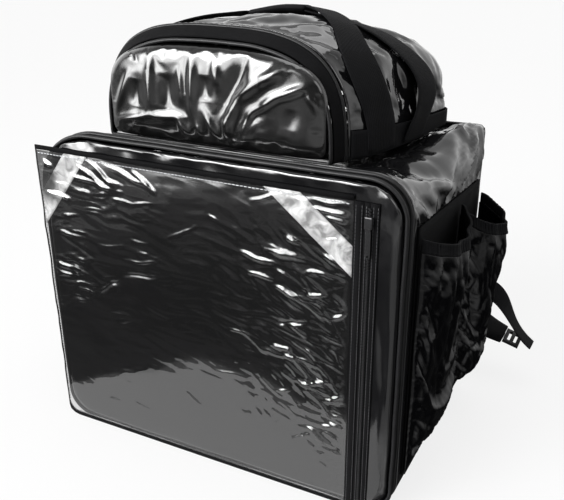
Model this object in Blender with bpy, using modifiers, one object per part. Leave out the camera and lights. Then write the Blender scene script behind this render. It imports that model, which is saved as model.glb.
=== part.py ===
"""Vinyl food delivery backpack: an insulated box with a smaller zipped bag on its lid.

Metres, +Z up. The origin is the middle of the flat base, the front faces -Y and the wearer's
straps are on the +Y side. Every sub-part is one closed solid, 0.3 mm clear of its neighbours.
"""
import math

import bmesh
import bpy
from mathutils import Matrix, Vector

# Fits
GAP = 0.0003                    # clearance between two pieces that touch
REST_GAP = 0.0008               # trim round the base stays this far above the floor

# Lower box
BOX_WIDTH = 0.440               # over the side walls
BOX_HEIGHT = 0.378              # floor to the top of the door's edge
BOX_DEPTH = 0.290               # face of the film to face of the back panel
BOX_WALL = 0.006                # padded wall of the gusset
LID_DROP = 0.009                # the lid lies this much below the top of the door's edge
TOP_RIGHT_RADIUS = 0.040        # at the door; the corner gets sharper towards the back
TOP_LEFT_RADIUS = 0.072         # the left shoulder is slack
LOW_CORNER_RADIUS = 0.032
PIPING_RADIUS = 0.0022
DOOR_ZIP_WIDTH = 0.007          # tape that shows between the two lines of piping
DOOR_ZIP_THICKNESS = 0.0015
DENT_FADE = 0.008               # height over which the shoulder's dents start above the seam

# Door panel and back panel
DOOR_THICKNESS = 0.008
DOOR_CROWN = 0.0055             # how far the flat of the door stands out from its edge
DOOR_EDGE_ROLL = 0.006          # width of the rounded edge at the sides and the bottom
DOOR_TOP_ROLL = 0.024           # width of the rounded edge along the top
BACK_THICKNESS = 0.008
BACK_CROWN = 0.004
BACK_EDGE_ROLL = 0.030

# Clear pocket on the door
FILM_THICKNESS = 0.0008
FILM_LEFT_MARGIN = 0.0035       # film to the outside of the box on the left
FILM_RIGHT_MARGIN = 0.052       # film to the outside of the box on the right, past the zip
FILM_TOP_MARGIN = 0.023         # film to the top of the door's edge
FILM_LOW_MARGIN = 0.006         # film to the floor
FILM_LOW_RADIUS = 0.014
FOLD_HEIGHT = 0.0016            # tallest fold of the film
BINDING_WIDTH = 0.005
BINDING_THICKNESS = 0.0014
STRIP_THICKNESS = 0.0006
STRIP_WIDTH = 0.025
STRIP_LEFT_TOP = 0.055          # top edge: film's left corner to the middle of the left strip
STRIP_LEFT_SIDE = 0.070         # side edge: film's top to the middle of the left strip
STRIP_RIGHT_TOP = 0.075         # top edge: film's right corner to the middle of the right strip
STRIP_RIGHT_SIDE = 0.062        # side edge: film's top to the middle of the right strip
EDGE_TAPE_WIDTH = 0.010         # matte tape along the film's right edge
INNER_TAPE_WIDTH = 0.0055
OUTER_TAPE_WIDTH = 0.009
ZIP_TAPE_THICKNESS = 0.001
ZIP_COIL_WIDTH = 0.0032
ZIP_COIL_HEIGHT = 0.0016
SLIDER_LENGTH = 0.012
SLIDER_WIDTH = 0.008
SLIDER_HEIGHT = 0.003
SLIDER_BELOW_TOP = 0.012        # slider's upper end to the top of the tape
PULL_LENGTH = 0.030
PULL_WIDTH = 0.005
PULL_THICKNESS = 0.0012
PULL_HOLE_RADIUS = 0.0013

# Side panels and bottle pockets
SIDE_PANEL_THICKNESS = 0.0015
SIDE_SEAM_FRONT = 0.326         # height of the shoulder seam at the front
SIDE_SEAM_BACK = 0.302          # and at the back
SIDE_PANEL_FRONT_MARGIN = 0.012
SIDE_PANEL_BACK_MARGIN = 0.009
SIDE_PANEL_LOW = 0.036
POCKET_WALL = 0.0015
POCKET_SPLIT = 0.038            # y of the seam between the two pockets of a side
POCKET_SEAM = 0.006             # width of that seam
POCKET_LOW = 0.038
FRONT_POCKET_BULGE = 0.026
REAR_POCKET_BULGE = 0.042
FRONT_POCKET_LEAN = 1.0         # above 1 the bulge lies towards the back
REAR_POCKET_LEAN = 1.3
FRONT_HEM_DROP = 0.010          # the hem's ends lie this far below the shoulder seam
REAR_HEM_DROP = 0.017
FRONT_HEM_DIP = 0.016
REAR_HEM_DIP = 0.022
HEM_WIDTH = 0.012
HEM_THICKNESS = 0.0026
GATHER_DEPTH = 0.0022
GATHER_COUNT = 4

# Upper bag
UPPER_WIDTH = 0.356
UPPER_HEIGHT = 0.131
UPPER_DEPTH = 0.2277
UPPER_SETBACK = 0.0423          # face of the film to the front of the upper bag
UPPER_WALL = 0.003
UPPER_FOOT_RADIUS = 0.006
UPPER_PIPING_RADIUS = 0.0020
UPPER_SHIFT = -0.010            # the front of the upper bag is pushed this far to the left
UPPER_BAND_DEPTH = 0.0135
UPPER_BAND_WALL = 0.002
UPPER_PANEL_WALL = 0.004
UPPER_PANEL_PUFF = 0.012
BELT_THICKNESS = 0.0015
BELT_HEIGHT_FRONT = 0.032
BELT_HEIGHT_BACK = 0.018
BELT_MARGIN = 0.008             # straps are clear of the belt up to this far above it

# Handle
HANDLE_WIDTH = 0.040
HANDLE_THICKNESS = 0.002
HANDLE_BOW = 0.012              # furthest air between a handle strap and the bag
FRONT_STRAP_LEVEL = 0.7         # height shares of the grip at which the straps run into it
REAR_STRAP_LEVEL = 0.2
GRIP_LENGTH = 0.070
GRIP_WIDTH = 0.046
GRIP_HEIGHT = 0.010
GRIP_LIFT = 0.002               # air under the grip
GRIP_Y = 0.045

# Shoulder straps
STRAP_WIDTH = 0.050
STRAP_THICKNESS = 0.014
STRAP_REACH = 0.052             # furthest air between strap and back panel
WEBBING_WIDTH = 0.025
WEBBING_THICKNESS = 0.0016
BUCKLE_LENGTH = 0.022
BUCKLE_WIDTH = 0.034
BUCKLE_THICKNESS = 0.004
BUCKLE_RIM = 0.005

# Tables. Columns are named above each table; a share is of the size in its heading.

# Gusset of the lower box: depth share of the gusset, drop share of LID_DROP,
# share of TOP_RIGHT_RADIUS, inner wall bends here
GUSSET_ROWS = (
    (0.000, 0.00, 1.00, True),
    (0.025, 0.40, 1.00, False),
    (0.050, 0.85, 1.00, False),
    (0.075, 1.00, 1.00, True),
    (0.200, 1.00, 0.89, False),
    (0.330, 1.00, 0.77, False),
    (0.460, 1.00, 0.65, False),
    (0.590, 1.00, 0.53, False),
    (0.720, 1.00, 0.41, False),
    (0.850, 1.00, 0.30, False),
    (0.955, 1.00, 0.20, True),
    (0.980, 1.15, 0.20, False),
    (1.000, 1.30, 0.20, True),
)

# Dents of the glossy shoulder: depth share of the gusset, height share of BOX_HEIGHT,
# reach share of BOX_HEIGHT, depth share of BOX_WALL
SHOULDER_DENTS = (
    (0.20, 0.895, 0.060, 0.45),
    (0.46, 0.900, 0.055, 0.60),
    (0.72, 0.880, 0.060, 0.55),
    (0.88, 0.870, 0.040, 0.40),
)

# Rounded edge of the door: side share of DOOR_EDGE_ROLL, top share of DOOR_TOP_ROLL,
# rise share of DOOR_CROWN
DOOR_ROWS = (
    (0.00, 0.00, 0.00),
    (0.20, 0.12, 0.42),
    (0.55, 0.42, 0.80),
    (1.00, 1.00, 1.00),
)

# Crown of the back panel: inset share of BACK_EDGE_ROLL, rise share of BACK_CROWN
BACK_ROWS = (
    (0.00, 0.00),
    (0.12, 0.35),
    (0.40, 0.72),
    (1.00, 1.00),
)

# Folds of the film: x share of FILM_WIDTH, z share of FILM_HEIGHT, length share of FILM_WIDTH,
# turn in degrees, height share of FOLD_HEIGHT
FILM_FOLDS = (
    (0.18, 0.90, 0.10, -12, 0.8),
    (0.40, 0.86, 0.16, -18, 0.6),
    (0.90, 0.78, 0.10, -32, 1.0),
    (0.88, 0.56, 0.14, -38, 0.9),
    (0.74, 0.50, 0.16, -30, 0.7),
    (0.84, 0.34, 0.16, -45, 0.8),
    (0.60, 0.20, 0.20, 25, 0.6),
    (0.30, 0.25, 0.18, 12, 0.5),
    (0.12, 0.48, 0.12, 70, 0.6),
)

# Bottle pocket: height share, bulge share
POCKET_ROWS = (
    (0.00, 0.00),
    (0.08, 0.24),
    (0.18, 0.54),
    (0.32, 0.78),
    (0.50, 0.82),
    (0.68, 0.86),
    (0.86, 1.00),
    (1.00, 0.88),
)

# Upper bag: depth share of UPPER_DEPTH, width share of UPPER_WIDTH, height share of UPPER_HEIGHT,
# share of UPPER_SHIFT
UPPER_ROWS = (
    (0.000, 0.753, 0.853, 0.80),
    (0.080, 0.803, 0.948, 1.00),
    (0.185, 0.858, 0.975, 0.60),
    (0.320, 0.900, 1.000, 0.30),
    (0.450, 0.930, 0.985, 0.10),
    (0.620, 0.962, 0.940, 0.00),
    (0.800, 0.992, 0.850, 0.00),
    (0.910, 1.000, 0.765, 0.00),
    (0.965, 0.965, 0.660, 0.00),
    (1.000, 0.880, 0.520, 0.00),
)

# Puff of the upper front panel: size share, puff share
PUFF_ROWS = (
    (1.00, 0.00),
    (0.95, 0.42),
    (0.85, 0.72),
    (0.66, 0.92),
    (0.44, 1.00),
    (0.22, 0.98),
)

# Puckers of the upper front panel: x share of its half width, z share of its height,
# reach share of its half width, depth share of UPPER_PANEL_PUFF
PUCKERS = (
    (-0.62, 0.38, 0.14, 0.30),
    (-0.28, 0.30, 0.14, 0.34),
    (0.02, 0.36, 0.13, 0.30),
    (0.50, 0.48, 0.20, 0.28),
)

# Handle straps, from the base of the upper bag to the grip: angle round the arch in degrees,
# y share of UPPER_DEPTH behind the front of the upper bag, lift share of HANDLE_BOW
FRONT_HANDLE_ROWS = (
    (0.0, 0.262, 0.12),
    (8.0, 0.255, 0.12),
    (14.0, 0.248, 0.12),
    (22.0, 0.236, 0.12),
    (32.0, 0.236, 0.12),
    (45.0, 0.267, 0.14),
    (55.0, 0.332, 0.22),
    (65.0, 0.416, 0.36),
    (74.0, 0.500, 0.54),
    (80.0, 0.575, 0.68),
)
REAR_HANDLE_ROWS = (
    (0.0, 0.500, 0.18),
    (4.0, 0.535, 0.50),
    (9.0, 0.570, 0.83),
    (16.0, 0.590, 1.00),
    (24.0, 0.592, 0.83),
    (32.0, 0.583, 0.58),
    (42.0, 0.575, 0.33),
    (54.0, 0.583, 0.18),
    (66.0, 0.605, 0.12),
    (78.0, 0.632, 0.12),
)

# Grip: length share of half GRIP_LENGTH, width share of GRIP_WIDTH
GRIP_ROWS = (
    (-1.0, 0.86),
    (-0.8, 1.00),
    (0.0, 1.00),
    (0.8, 1.00),
    (1.0, 0.86),
)

# Shoulder strap: x share of half BOX_WIDTH, air share of STRAP_REACH, z share of BOX_HEIGHT,
# turn in degrees, width share of STRAP_WIDTH
STRAP_ROWS = (
    (0.26, 0.00, 0.915, 0, 0.90),
    (0.27, 0.00, 0.850, 0, 1.00),
    (0.32, 0.23, 0.755, 5, 1.00),
    (0.40, 0.67, 0.635, 15, 1.00),
    (0.52, 0.92, 0.503, 30, 1.00),
    (0.68, 1.00, 0.370, 50, 1.00),
    (0.86, 0.96, 0.265, 70, 1.00),
    (1.04, 0.88, 0.196, 85, 1.00),
    (1.19, 0.86, 0.168, 90, 0.78),
)

# Adjusting webbing: x share of half BOX_WIDTH, air share of STRAP_REACH, z share of BOX_HEIGHT,
# turn in degrees
WEBBING_ROWS = (
    (0.86, 0.00, 0.405, 0),
    (0.93, 0.02, 0.400, 0),
    (1.00, 0.35, 0.385, 12),
    (1.08, 0.80, 0.352, 35),
    (1.15, 1.00, 0.305, 60),
    (1.20, 1.04, 0.255, 80),
    (1.245, 1.04, 0.212, 90),
    (1.30, 1.03, 0.172, 90),
    (1.36, 1.02, 0.145, 90),
)

# Resolution
CORNER_STEPS = 5
ARCH_STEPS = 16
ARCH_POWER = 3.0
GRIP_SIDES = 10
GRIP_ROUNDNESS = 0.6
POCKET_SQUARENESS = 0.65
FILM_COLUMNS = 15
FILM_LEVELS = 13
POCKET_COLUMNS = 10
BAND_STEPS = 14
STRAP_STEPS = 16
TUBE_SIDES = 6
SIDE_SHARES = (0.40, 0.75, 0.88, 0.96)
TOP_SHARES = (0.12, 0.50, 0.88)
LOW_SHARES = (0.50,)

# Places worked out from the sizes
HALF_WIDTH = BOX_WIDTH / 2
FRONT_Y = -BOX_DEPTH / 2
BACK_Y = BOX_DEPTH / 2
LID_Z = BOX_HEIGHT - LID_DROP
BACK_TOP = BOX_HEIGHT - LID_DROP * GUSSET_ROWS[-1][1]
BACK_SHARPNESS = GUSSET_ROWS[-1][2]
DOOR_FACE_Y = FRONT_Y + FILM_THICKNESS + GAP + STRIP_THICKNESS + GAP
DOOR_BACK_Y = DOOR_FACE_Y + DOOR_THICKNESS
DOOR_PIPING_Y = DOOR_BACK_Y - PIPING_RADIUS
DOOR_ZIP_START = DOOR_BACK_Y + GAP
DOOR_ZIP_END = DOOR_ZIP_START + DOOR_ZIP_WIDTH
GUSSET_PIPING_Y = DOOR_ZIP_END + GAP + PIPING_RADIUS
GUSSET_START = GUSSET_PIPING_Y + PIPING_RADIUS + GAP
BACK_INNER_Y = BACK_Y - BACK_THICKNESS
BACK_PIPING_Y = BACK_INNER_Y + PIPING_RADIUS
GUSSET_END = BACK_INNER_Y - GAP
PANEL_INSET = 2 * PIPING_RADIUS + GAP
FILM_LEFT = -HALF_WIDTH + FILM_LEFT_MARGIN
FILM_RIGHT = HALF_WIDTH - FILM_RIGHT_MARGIN
FILM_WIDTH = FILM_RIGHT - FILM_LEFT
FILM_LOW = FILM_LOW_MARGIN
FILM_TOP = BOX_HEIGHT - FILM_TOP_MARGIN
FILM_HEIGHT = FILM_TOP - FILM_LOW
UPPER_BASE = LID_Z + GAP
UPPER_FRONT = FRONT_Y + UPPER_SETBACK
UPPER_PIPING_Y = UPPER_FRONT + UPPER_PIPING_RADIUS
BAND_START = UPPER_FRONT + 2 * UPPER_PIPING_RADIUS + GAP
BAND_END = BAND_START + UPPER_BAND_DEPTH
SHELL_PIPING_Y = BAND_END + GAP + UPPER_PIPING_RADIUS
UPPER_SHELL_START = SHELL_PIPING_Y + UPPER_PIPING_RADIUS + GAP
GRIP_END = GRIP_LENGTH / 2 + GAP
SIDE_FRONT = GUSSET_START + SIDE_PANEL_FRONT_MARGIN
SIDE_BACK = GUSSET_END - SIDE_PANEL_BACK_MARGIN
SIDE_X = HALF_WIDTH + GAP
POCKET_X = SIDE_X + SIDE_PANEL_THICKNESS + GAP


def clear_scene():
    for item in list(bpy.data.objects):
        bpy.data.objects.remove(item, do_unlink=True)
    for group in list(bpy.data.collections):
        bpy.data.collections.remove(group)


def make_collection(name):
    group = bpy.data.collections.new(name)
    bpy.context.scene.collection.children.link(group)
    return group


def make_material(name, colour, roughness, metallic=0.0, alpha=1.0):
    material = bpy.data.materials.new(name)
    material.use_nodes = True
    shader = material.node_tree.nodes["Principled BSDF"]
    shader.inputs["Base Color"].default_value = (*colour, 1.0)
    shader.inputs["Roughness"].default_value = roughness
    shader.inputs["Metallic"].default_value = metallic
    shader.inputs["Alpha"].default_value = alpha
    material.diffuse_color = (*colour, alpha)
    return material


clear_scene()
BAG = make_collection("food_delivery_bag")
CUTTERS = make_collection("cutters")

VINYL = make_material("gloss_vinyl", (0.012, 0.012, 0.013), 0.12)
POCKET_VINYL = make_material("pocket_vinyl", (0.008, 0.008, 0.009), 0.25)
WEBBING = make_material("black_webbing", (0.014, 0.014, 0.015), 0.75)
FABRIC = make_material("black_fabric", (0.010, 0.010, 0.011), 0.85)
PIPING = make_material("black_piping", (0.009, 0.009, 0.010), 0.35)
FILM = make_material("clear_film", (0.75, 0.76, 0.78), 0.05, 0.0, 0.3)
SILVER = make_material("silver_tape", (0.62, 0.63, 0.65), 0.35, 0.6)
ZIP_METAL = make_material("black_zip_metal", (0.03, 0.03, 0.032), 0.3, 0.8)


def add_object(name, bm, material):
    """Turn a bmesh into a linked, smooth-shaded object of the bag."""
    mesh = bpy.data.meshes.new(name)
    bm.to_mesh(mesh)
    bm.free()
    mesh.shade_smooth()
    mesh.set_sharp_from_angle(angle=math.radians(40))
    item = bpy.data.objects.new(name, mesh)
    item.data.materials.append(material)
    BAG.objects.link(item)
    return item


def add_wall(item, thickness, offset=-1.0):
    """Give an open sheet its thickness; -1 puts the wall inside the drawn face."""
    wall = item.modifiers.new("wall", "SOLIDIFY")
    wall.thickness = thickness
    wall.offset = offset
    wall.use_even_offset = True
    return item


def loft(rings, closed=True, front_cap=False, back_cap=False):
    """Skin a row of point lists, anticlockwise rings seen from beyond the first one."""
    bm = bmesh.new()
    rows = [[bm.verts.new(point) for point in ring] for ring in rings]
    count = len(rings[0])
    spans = count if closed else count - 1
    for near, far in zip(rows, rows[1:]):
        for k in range(spans):
            n = (k + 1) % count
            bm.faces.new((near[k], far[k], far[n], near[n]))
    if front_cap:
        bm.faces.new(rows[0])
    if back_cap:
        bm.faces.new(list(reversed(rows[-1])))
    return bm


def solid(rings):
    """Closed body through a row of rings, flat at both ends."""
    bm = loft(rings, front_cap=True, back_cap=True)
    bmesh.ops.recalc_face_normals(bm, faces=bm.faces)
    return bm


def tube(outer, inner):
    """Body of an open-ended wall between outer and inner rings, both listed front to back."""
    rings = outer + list(reversed(inner)) + outer[:1]
    bm = loft(rings)
    bmesh.ops.remove_doubles(bm, verts=bm.verts, dist=GAP / 10)
    bmesh.ops.recalc_face_normals(bm, faces=bm.faces)
    return bm


def blend(table, share):
    """Read a table at a share between its rows; the first column is the share."""
    for low, high in zip(table, table[1:]):
        if share <= high[0]:
            part = max(0.0, (share - low[0]) / (high[0] - low[0]))
            return [a + (b - a) * part for a, b in zip(low[1:], high[1:])]
    return list(table[-1][1:])


def smooth_rows(rows, steps):
    """Resample rows of numbers along a smooth curve that passes through all of them."""
    last = len(rows) - 1
    result = []
    for i in range(steps + 1):
        place = last * i / steps
        k = min(int(place), last - 1)
        t = place - k
        before = rows[max(k - 1, 0)]
        start, end = rows[k], rows[k + 1]
        after = rows[min(k + 2, last)]
        row = []
        for a, b, c, d in zip(before, start, end, after):
            linear = (c - a) * t
            square = (2 * a - 5 * b + 4 * c - d) * t * t
            cube = (3 * b - a - 3 * c + d) * t ** 3
            row.append(0.5 * (2 * b + linear + square + cube))
        result.append(row)
    return result


def arc(centre, radius, start, end, steps):
    """Points of an arc in X and Z, angles in degrees from +X towards +Z."""
    points = []
    for k in range(steps + 1):
        angle = math.radians(start + (end - start) * k / steps)
        points.append((centre[0] + radius * math.cos(angle), centre[1] + radius * math.sin(angle)))
    return points


def between(start, end, shares):
    return [(start[0] + (end[0] - start[0]) * s, start[1] + (end[1] - start[1]) * s) for s in shares]


def box_outline(half_width, low, high, inset=0.0, divided=False, sharpness=1.0):
    """Rounded rectangle in X and Z, anticlockwise seen from the front."""
    x = half_width - inset
    z_low, z_high = low + inset, high - inset
    low_r = max(LOW_CORNER_RADIUS - inset, PIPING_RADIUS)
    right_r = max(TOP_RIGHT_RADIUS * sharpness - inset, PIPING_RADIUS)
    left_r = max(TOP_LEFT_RADIUS - inset, PIPING_RADIUS)
    low_right = arc((x - low_r, z_low + low_r), low_r, -90, 0, CORNER_STEPS)
    top_right = arc((x - right_r, z_high - right_r), right_r, 0, 90, CORNER_STEPS)
    top_left = arc((-x + left_r, z_high - left_r), left_r, 90, 180, CORNER_STEPS)
    low_left = arc((-x + low_r, z_low + low_r), low_r, 180, 270, CORNER_STEPS)
    if not divided:
        return low_right + top_right + top_left + low_left
    right = between(low_right[-1], top_right[0], SIDE_SHARES)
    top = between(top_right[-1], top_left[0], TOP_SHARES)
    left = between(top_left[-1], low_left[0], [1 - s for s in reversed(SIDE_SHARES)])
    low_side = between(low_left[-1], low_right[0], LOW_SHARES)
    return low_right + right + top_right + top + top_left + left + low_left + low_side


def tube_ring(name, outline, y, radius, material):
    """Closed cord of piping along an outline in X and Z."""
    curve = bpy.data.curves.new(name, "CURVE")
    curve.dimensions = "3D"
    curve.bevel_depth = radius
    curve.bevel_resolution = (TUBE_SIDES - 4) // 2
    spline = curve.splines.new("POLY")
    spline.points.add(len(outline) - 1)
    for point, (x, z) in zip(spline.points, outline):
        point.co = (x, y, z, 1.0)
    spline.use_cyclic_u = True
    curve.materials.append(material)
    item = bpy.data.objects.new(name, curve)
    BAG.objects.link(item)
    return item


def at(y, outline):
    return [(x, y, z) for x, z in outline]


def door_outline(inset=0.0, divided=False):
    """Outline of the door's edge, and of whatever follows it, inset from the outside of the box."""
    return box_outline(HALF_WIDTH, REST_GAP, BOX_HEIGHT, inset, divided)


def seam_height(y):
    """Height of the seam between the glossy shoulder and the matte side."""
    share = (y - GUSSET_START) / (GUSSET_END - GUSSET_START)
    return SIDE_SEAM_FRONT + (SIDE_SEAM_BACK - SIDE_SEAM_FRONT) * share


def shoulder_dent(x, y, z):
    """How far the glossy shoulder is pushed in at a point of the gusset's side."""
    if abs(x) < HALF_WIDTH - TOP_RIGHT_RADIUS / 2:
        return 0.0
    total = 0.0
    for place, height, reach, depth in SHOULDER_DENTS:
        along = y - GUSSET_START - place * (GUSSET_END - GUSSET_START)
        up = z - height * BOX_HEIGHT
        near = (along ** 2 + up ** 2) / (reach * BOX_HEIGHT) ** 2
        total += depth * BOX_WALL * math.exp(-2 * near)
    fade = (z - seam_height(GUSSET_START)) / DENT_FADE
    return total * min(max(fade, 0.0), 1.0)


def make_lower_shell():
    outer, inner = [], []
    for share, drop, sharpness, lined in GUSSET_ROWS:
        y = GUSSET_START + (GUSSET_END - GUSSET_START) * share
        high = BOX_HEIGHT - LID_DROP * drop
        ring = []
        for x, z in box_outline(HALF_WIDTH, 0.0, high, 0.0, True, sharpness):
            push = shoulder_dent(x, y, z)
            ring.append((x - math.copysign(push, x), y, z))
        outer.append(ring)
        if lined:
            inner.append(at(y, box_outline(HALF_WIDTH, 0.0, high, BOX_WALL, True, sharpness)))
    add_object("lower_shell", tube(outer, inner), VINYL)


def make_door():
    rings = [at(DOOR_BACK_Y, door_outline(PANEL_INSET))]
    for side, top, rise in DOOR_ROWS:
        inset = side * DOOR_EDGE_ROLL
        high = BOX_HEIGHT - PANEL_INSET - top * DOOR_TOP_ROLL
        low = REST_GAP + PANEL_INSET + inset
        outline = box_outline(HALF_WIDTH - PANEL_INSET - inset, low, high)
        rings.append(at(DOOR_FACE_Y + DOOR_CROWN * (1 - rise), outline))
    add_object("lower_front_panel", solid(list(reversed(rings))), VINYL)
    tube_ring("door_piping", door_outline(PIPING_RADIUS), DOOR_PIPING_Y, PIPING_RADIUS, PIPING)
    tape = [at(y, door_outline(PIPING_RADIUS)) for y in (DOOR_ZIP_START, DOOR_ZIP_END)]
    add_wall(add_object("door_zip_tape", loft(tape), FABRIC), DOOR_ZIP_THICKNESS)
    tube_ring("gusset_piping", door_outline(PIPING_RADIUS), GUSSET_PIPING_Y, PIPING_RADIUS, PIPING)


def back_outline(inset=0.0):
    return box_outline(HALF_WIDTH, REST_GAP, BACK_TOP, inset, sharpness=BACK_SHARPNESS)


def make_back():
    rings = [at(BACK_INNER_Y, back_outline(PANEL_INSET))]
    for inset, rise in BACK_ROWS:
        y = BACK_Y - BACK_CROWN * (1 - rise)
        rings.append(at(y, back_outline(PANEL_INSET + inset * BACK_EDGE_ROLL)))
    add_object("lower_back_panel", solid(rings), FABRIC)
    tube_ring("back_piping", back_outline(PIPING_RADIUS), BACK_PIPING_Y, PIPING_RADIUS, PIPING)


def fold_rise(u, v):
    """Height of the film's folds at a place given as shares of its width and height."""
    rise = 0.0
    for x, z, length, turn, height in FILM_FOLDS:
        dx = (u - x) * FILM_WIDTH
        dz = (v - z) * FILM_HEIGHT
        angle = math.radians(turn)
        along = dx * math.cos(angle) + dz * math.sin(angle)
        across = dz * math.cos(angle) - dx * math.sin(angle)
        reach = length * FILM_WIDTH
        rise += height * math.exp(-(along / reach) ** 2 - (across / (0.35 * reach)) ** 2)
    edge = min(u, 1 - u, v, 1 - v)
    return FOLD_HEIGHT * min(rise, 1.0) * min(edge * 8, 1.0)


def film_corner_cut(z):
    """The film's lower left corner is rounded: how far its left edge moves in at a height."""
    up = z - FILM_LOW
    if up >= FILM_LOW_RADIUS:
        return 0.0
    return FILM_LOW_RADIUS - math.sqrt(FILM_LOW_RADIUS ** 2 - (FILM_LOW_RADIUS - up) ** 2)


def film_levels():
    """Heights of the film's rows, with a few close together round the lower corner."""
    corner = [FILM_LOW + FILM_LOW_RADIUS * (1 - math.cos(math.radians(a))) for a in (0, 30, 60)]
    start = FILM_LOW + FILM_LOW_RADIUS
    return corner + [start + (FILM_TOP - start) * k / FILM_LEVELS for k in range(FILM_LEVELS + 1)]


def make_film():
    rows = []
    for z in film_levels():
        left = FILM_LEFT + film_corner_cut(z)
        row = []
        for k in range(FILM_COLUMNS + 1):
            x = left + (FILM_RIGHT - left) * k / FILM_COLUMNS
            rise = fold_rise((x - FILM_LEFT) / FILM_WIDTH, (z - FILM_LOW) / FILM_HEIGHT)
            row.append((x, FRONT_Y - rise, z))
        rows.append(row)
    add_wall(add_object("window_film", loft(list(reversed(rows)), closed=False), FILM), FILM_THICKNESS)


def frame_section(outer, inner, y_front, y_back):
    """Four corners of a flat strip that runs along an outline."""
    return [
        (outer[0], y_front, outer[1]),
        (inner[0], y_front, inner[1]),
        (inner[0], y_back, inner[1]),
        (outer[0], y_back, outer[1]),
    ]


def make_binding():
    """Strip sewn round three edges of the film, from the zip along the bottom, up and back."""
    reach = GAP + BINDING_WIDTH
    r = FILM_LOW_RADIUS
    centre = (FILM_LEFT + r, FILM_LOW + r)
    outer = [(FILM_RIGHT, FILM_LOW - GAP)]
    inner = [(FILM_RIGHT, FILM_LOW - reach)]
    outer += list(reversed(arc(centre, r + GAP, 180, 270, 4)))
    inner += list(reversed(arc(centre, r + reach, 180, 270, 4)))
    outer.append((FILM_LEFT - GAP, FILM_TOP + GAP))
    inner.append((FILM_LEFT - reach, FILM_TOP + reach))
    outer.append((FILM_RIGHT, FILM_TOP + GAP))
    inner.append((FILM_RIGHT, FILM_TOP + reach))
    y_back = DOOR_FACE_Y - GAP
    y_front = y_back - BINDING_THICKNESS
    limit_x = -HALF_WIDTH + PIPING_RADIUS
    limit_z = REST_GAP
    sections = []
    for a, b in zip(outer, inner):
        b = (max(b[0], limit_x), max(b[1], limit_z))
        sections.append(frame_section(a, b, y_front, y_back))
    add_object("window_binding", solid(sections), FABRIC)


def make_strip(name, top_x, side_x, side_drop):
    """Flat reflective tape cut off by the film's top and side edges."""
    top_z = FILM_TOP - GAP
    side_z = FILM_TOP - side_drop
    run = Vector((side_x - top_x, side_z - top_z)).normalized()
    half_top = STRIP_WIDTH / 2 / abs(run.y)
    half_side = STRIP_WIDTH / 2 / run.x
    corners = [
        (top_x - half_top, top_z),
        (top_x + half_top, top_z),
        (side_x, side_z + half_side),
        (side_x, side_z - half_side),
    ]
    y_back = DOOR_FACE_Y - GAP
    rings = [at(y_back - STRIP_THICKNESS, corners), at(y_back, corners)]
    add_object(name, solid(rings), SILVER)


def make_strips():
    make_strip("reflective_strip_left", FILM_LEFT + STRIP_LEFT_TOP, FILM_LEFT + GAP, STRIP_LEFT_SIDE)
    make_strip("reflective_strip_right", FILM_RIGHT - STRIP_RIGHT_TOP, FILM_RIGHT - GAP, STRIP_RIGHT_SIDE)


def box_between(name, low, high, material):
    bm = bmesh.new()
    bmesh.ops.create_cube(bm, size=1.0)
    size = Vector(high) - Vector(low)
    centre = (Vector(high) + Vector(low)) / 2
    bmesh.ops.scale(bm, vec=size, verts=bm.verts)
    bmesh.ops.translate(bm, vec=centre, verts=bm.verts)
    return add_object(name, bm, material)


def make_window_zip():
    """Tape along the film's right edge, and the upright zip beside it."""
    tape_back = DOOR_FACE_Y - GAP
    tape_front = tape_back - ZIP_TAPE_THICKNESS
    start = FILM_RIGHT
    for name, width in (
        ("window_edge_tape", EDGE_TAPE_WIDTH),
        ("window_zip_tape_inner", INNER_TAPE_WIDTH),
        ("window_zip_tape_outer", OUTER_TAPE_WIDTH),
    ):
        low = (start + GAP, tape_front, FILM_LOW)
        start += GAP + width
        box_between(name, low, (start, tape_back, FILM_TOP), FABRIC)
    middle = start - OUTER_TAPE_WIDTH - GAP / 2
    coil_back = tape_front - GAP
    coil_front = coil_back - ZIP_COIL_HEIGHT
    half = ZIP_COIL_WIDTH / 2
    coil = box_between(
        "window_zip_coil",
        (middle - half, coil_front, FILM_LOW + half),
        (middle + half, coil_back, FILM_TOP - half),
        PIPING,
    )
    round_edges(coil, ZIP_COIL_HEIGHT / 3, 1)
    slider_back = coil_front - GAP
    slider_front = slider_back - SLIDER_HEIGHT
    slider_top = FILM_TOP - SLIDER_BELOW_TOP
    slider_low = slider_top - SLIDER_LENGTH
    slider = box_between(
        "window_zip_slider",
        (middle - SLIDER_WIDTH / 2, slider_front, slider_low),
        (middle + SLIDER_WIDTH / 2, slider_back, slider_top),
        ZIP_METAL,
    )
    round_edges(slider, SLIDER_HEIGHT / 3, 2)
    make_pull(middle, slider_back, slider_low)


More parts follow.
